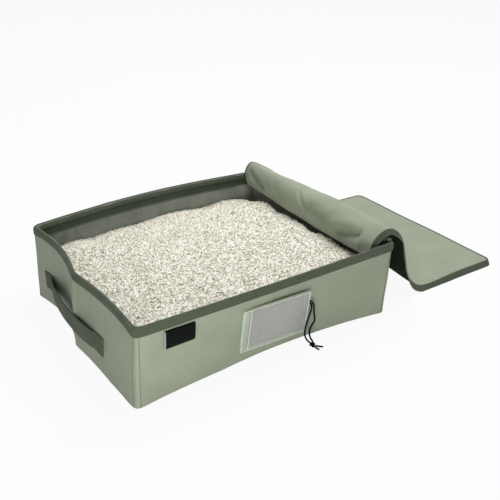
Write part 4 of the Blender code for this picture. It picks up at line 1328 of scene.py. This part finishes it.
def make_label():
    """A black ribbon folded at the bottom, with its pale back showing at the left."""
    share = LABEL_LEFT / TRAY_LENGTH
    foot, line = wall_patch("front", share, share + LABEL_LENGTH / TRAY_LENGTH, LABEL_TOP - LABEL_DROP,
                            LABEL_TOP, 0.0, steps=(20, 2))
    out = level_right(np.gradient(line, axis=0))
    down = (foot - line) / LABEL_DROP
    section = np.array(LABEL_SECTION)
    inside = moved_right(section, -LABEL_THICK)
    outer, inner = (line[None] + points[:, None, :1] * out[None] + points[:, None, 1:] * down[None]
                    for points in (section, inside))
    label = cloth("label_ribbon", outer[::-1], inner[::-1], measured(outer), BLACK_CLOTH)
    place(label, "label", "black_label", "side_label")
    aside = -LABEL_EDGE_ASIDE * unit(line[-1] - line[0])
    drops = np.linspace(LABEL_EDGE_ASIDE, LABEL_EDGE_BOTTOM, 16)[:, None]
    route = line[0] + aside + out[0] * LABEL_EDGE_OUT + drops * down[0]
    edge = sweep("label_edge", route, out[0], rounded_section(*LABEL_EDGE, 5), PALE_GREY_CLOTH)
    place(edge, "label", "black_label")


# The pocket on the front, repeated from part.py: its lower left corner and its own directions
POCKET_CORNER = np.array((-0.04951, -0.17508, 0.0220))
POCKET_ALONG = np.array((0.9993, -0.0376, -0.0066))
POCKET_UP = np.array((0.0, -0.1719, 0.9851))
POCKET_OUT = np.array((-0.0382, -0.9844, -0.1718))
POCKET_LENGTH = 0.116
POCKET_HEIGHT = 0.079
POCKET_SIDE_BORDER = 0.0122
POCKET_EDGE_BORDER = 0.004
POUCH_THICK = 0.0030
POUCH_CHANNEL = 0.009
POUCH_SIDE_GAP = 0.001
POUCH_BACK_GAP = 0.0004
POUCH_SEAM_GAP = 0.0002
POUCH_WRINKLE = 0.0004
BORDER_THICK = 0.0042
# The pocket's sheets thicken from their edges inwards: (share at the edge, share gained), the width
# that this takes, and how much of the thickness the back gives up at the edge
POCKET_CROWN = (0.55, 0.45)
POCKET_CROWN_WIDTH = 0.004
POCKET_TUCK = 0.3
WINDOW_BACK = 0.0043
WINDOW_THICK = 0.0006
WINDOW_WRINKLE = 0.0003
WINDOW_EDGE = (0.0014, 0.0009)
WINDOW_EDGE_OUT = 0.0050


def pocket_point(along, up, out):
    """Points of the pocket, from distances along, up and out of its lower left corner."""
    along, up, out = np.broadcast_arrays(along, up, out)
    return (POCKET_CORNER + along[..., None] * POCKET_ALONG + up[..., None] * POCKET_UP
            + out[..., None] * POCKET_OUT)


def pocket_sheet(name, low, high, out, thick, material, relief=0.0, step=0.0025):
    """A soft sheet of the pocket between two corners, crowned a little and rippled."""
    columns = np.linspace(low[0], high[0], max(6, round((high[0] - low[0]) / step)))
    rows = np.linspace(low[1], high[1], max(6, round((high[1] - low[1]) / step)))
    along, up = np.meshgrid(columns, rows)
    edge = np.min([along - low[0], high[0] - along, up - low[1], high[1] - up], axis=0)
    crown = eased(edge, 0.0, POCKET_CROWN_WIDTH)
    wave = relief * crown * (1 + fold_lines(along, up, PUCKERS)) if relief else 0.0
    at_edge, gained = POCKET_CROWN
    outer = pocket_point(along, up, out + thick * (at_edge + gained * crown) + wave)
    inner = pocket_point(along, up, out + thick * POCKET_TUCK * (1 - crown))
    return cloth(name, outer, inner, measured(outer), material)


# Folds of the film and the pouch: (from (along, up), to, width, how far in or out as shares)
PUCKERS = (
    ((0.034, 0.0), (0.036, 0.079), 0.0020, -2.2),
    ((0.076, 0.010), (0.078, 0.070), 0.0018, -1.8),
    ((0.082, 0.030), (0.097, 0.050), 0.0020, -1.6),
    ((0.060, 0.060), (0.095, 0.066), 0.0030, 1.0),
)


def make_pocket():
    """The pocket's borders and window, and the pouch folded inside it."""
    side, edge = POCKET_SIDE_BORDER, POCKET_EDGE_BORDER
    borders = (("side", (0.0, 0.0), (side, POCKET_HEIGHT)),
               ("bottom", (side, 0.0), (POCKET_LENGTH, edge)),
               ("top", (side, POCKET_HEIGHT - edge), (POCKET_LENGTH, POCKET_HEIGHT)))
    for name, low, high in borders:
        border = pocket_sheet(f"border_{name}", low, high, 0.0, BORDER_THICK, FILMED_SAGE_AND_SHEEN, step=0.002)
        place(border, "tray", "pale_trim", f"pocket_border_{name}")
    right, top = POCKET_LENGTH - 0.001, POCKET_HEIGHT - 0.001
    window = pocket_sheet("window_film", (0.0012, 0.0012), (POCKET_LENGTH - 0.0005, top), WINDOW_BACK,
                          WINDOW_THICK, FILM, relief=WINDOW_WRINKLE)
    place(window, "tray", "clear_film", "pocket_window")
    lines = (("left", (0.0008, 0.0), (0.0008, POCKET_HEIGHT)),
             ("low", (0.0, 0.001), (POCKET_LENGTH, 0.001)),
             ("right", (right, 0.002), (right, top)), ("high", (0.0, top), (POCKET_LENGTH, top)),
             ("inner", (side, 0.002), (side, POCKET_HEIGHT - 0.002)))
    for name, low, high in lines:
        route = pocket_point(*np.linspace(low, high, 40).T, WINDOW_EDGE_OUT)
        line = sweep(f"window_edge_{name}", route, POCKET_OUT, rounded_section(*WINDOW_EDGE), FILM_EDGE)
        place(line, "tray", "clear_film")
    make_pouch()


def make_pouch():
    """The grey drawstring pouch: a flat bag and the channel of its drawstring."""
    left = POCKET_SIDE_BORDER + POUCH_SIDE_GAP + CLEARANCE
    low = POCKET_EDGE_BORDER + CLEARANCE * 3
    high = POCKET_HEIGHT - low
    seam = POCKET_LENGTH - POUCH_CHANNEL
    bag = pocket_sheet("pouch_cloth", (left, low), (seam - POUCH_SEAM_GAP, high), POUCH_BACK_GAP,
                       POUCH_THICK - POUCH_SEAM_GAP, GREY_CLOTH, relief=POUCH_WRINKLE)
    place(bag, "pouch", "grey_pouch", "pouch_bag")
    channel = pocket_sheet("pouch_hem", (seam, low), (POCKET_LENGTH, high), POUCH_BACK_GAP, POUCH_THICK,
                           GREY_CLOTH, step=0.0015)
    place(channel, "pouch", "grey_pouch", "pouch_channel")


METAL_NODES = ("zip_slider", "zip_pull")
METAL_BEVEL = 0.00025


def dress_carried():
    """Materials for the CAD nodes that stay, and softened edges on the metal ones."""
    for name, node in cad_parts.items():
        if name in METAL_NODES:
            bevel = node.modifiers.new("edges", "BEVEL")
            bevel.width = METAL_BEVEL
            bevel.segments = 2
            bevel.limit_method = "ANGLE"
            material = METAL
        elif "board" in name:
            material = BOARD_FACE
        else:
            continue
        node.data.materials.clear()
        node.data.materials.append(material)


# The studio
FLOOR_SIZE = 30.0
FLOOR_DROP = 0.0002
FLOOR_COLOUR = (0.70, 0.70, 0.69, 1)
FLOOR_GLOW_SHARE = 0.93
WORLD_GREY = 0.26


def seen_directly(tree):
    """1 for rays from the camera and for those that glossy and clear surfaces pass on."""
    rays = add_node(tree, "ShaderNodeLightPath").outputs
    both = calculate(tree, "MAXIMUM", rays["Is Camera Ray"], rays["Is Glossy Ray"])
    return calculate(tree, "MAXIMUM", both, rays["Is Transmission Ray"])


def make_floor():
    """A plain pale floor that reads white and keeps a faint shadow."""
    material, tree, shader = material_tree("floor")
    set_inputs(tree, shader, {"Base Color": FLOOR_COLOUR, "Roughness": 0.9})
    glow = add_node(tree, "ShaderNodeEmission", {"Color": (1, 1, 1, 1), "Strength": 1.0})
    share = calculate(tree, "MULTIPLY", seen_directly(tree), FLOOR_GLOW_SHARE)
    mixed = add_node(tree, "ShaderNodeMixShader", {0: share, 1: shader.outputs[0], 2: glow.outputs[0]})
    tree.links.new(mixed.outputs[0], tree.nodes["Material Output"].inputs["Surface"])
    half = FLOOR_SIZE / 2
    corners = [(-half, -half, -FLOOR_DROP), (half, -half, -FLOOR_DROP), (half, half, -FLOOR_DROP),
               (-half, half, -FLOOR_DROP)]
    floor = add_object("floor", corners, [(0, 1, 2, 3)], [point[:2] for point in corners], material)


def make_world():
    """A world that is white to the camera and a soft grey light on the object."""
    world = bpy.data.worlds.new("studio")
    world.use_nodes = True
    tree = world.node_tree
    strength = stretch(tree, seen_directly(tree), 0, 1, WORLD_GREY, 1.0)
    set_inputs(tree, tree.nodes["Background"], {"Color": (1, 1, 1, 1), "Strength": strength})
    bpy.context.scene.world = world


# (name, place, size, power): soft lamps that face the middle of the object
LAMPS = (("overhead", (0.9, 0.5, 2.1), 1.6, 48.0), ("front", (-0.55, -0.95, 0.17), 0.3, 5.9))


def make_lamps():
    """The lamps, unseen by the camera."""
    for name, where, size, power in LAMPS:
        lamp = bpy.data.lights.new(name, "AREA")
        lamp.size = size
        lamp.energy = power
        obj = bpy.data.objects.new(name, lamp)
        obj.location = where
        obj.rotation_euler = obj.location.to_track_quat("Z", "Y").to_euler()
        obj.visible_camera = False
        bpy.context.scene.collection.objects.link(obj)


make_drawstring()
make_walls()
make_binding()
make_zip()
make_liner()
make_litter()
make_hem()
make_lid()
make_handles()
make_label()
make_pocket()
dress_carried()
make_floor()
make_world()
make_lamps()

bpy.context.scene.view_settings.view_transform = "Standard"
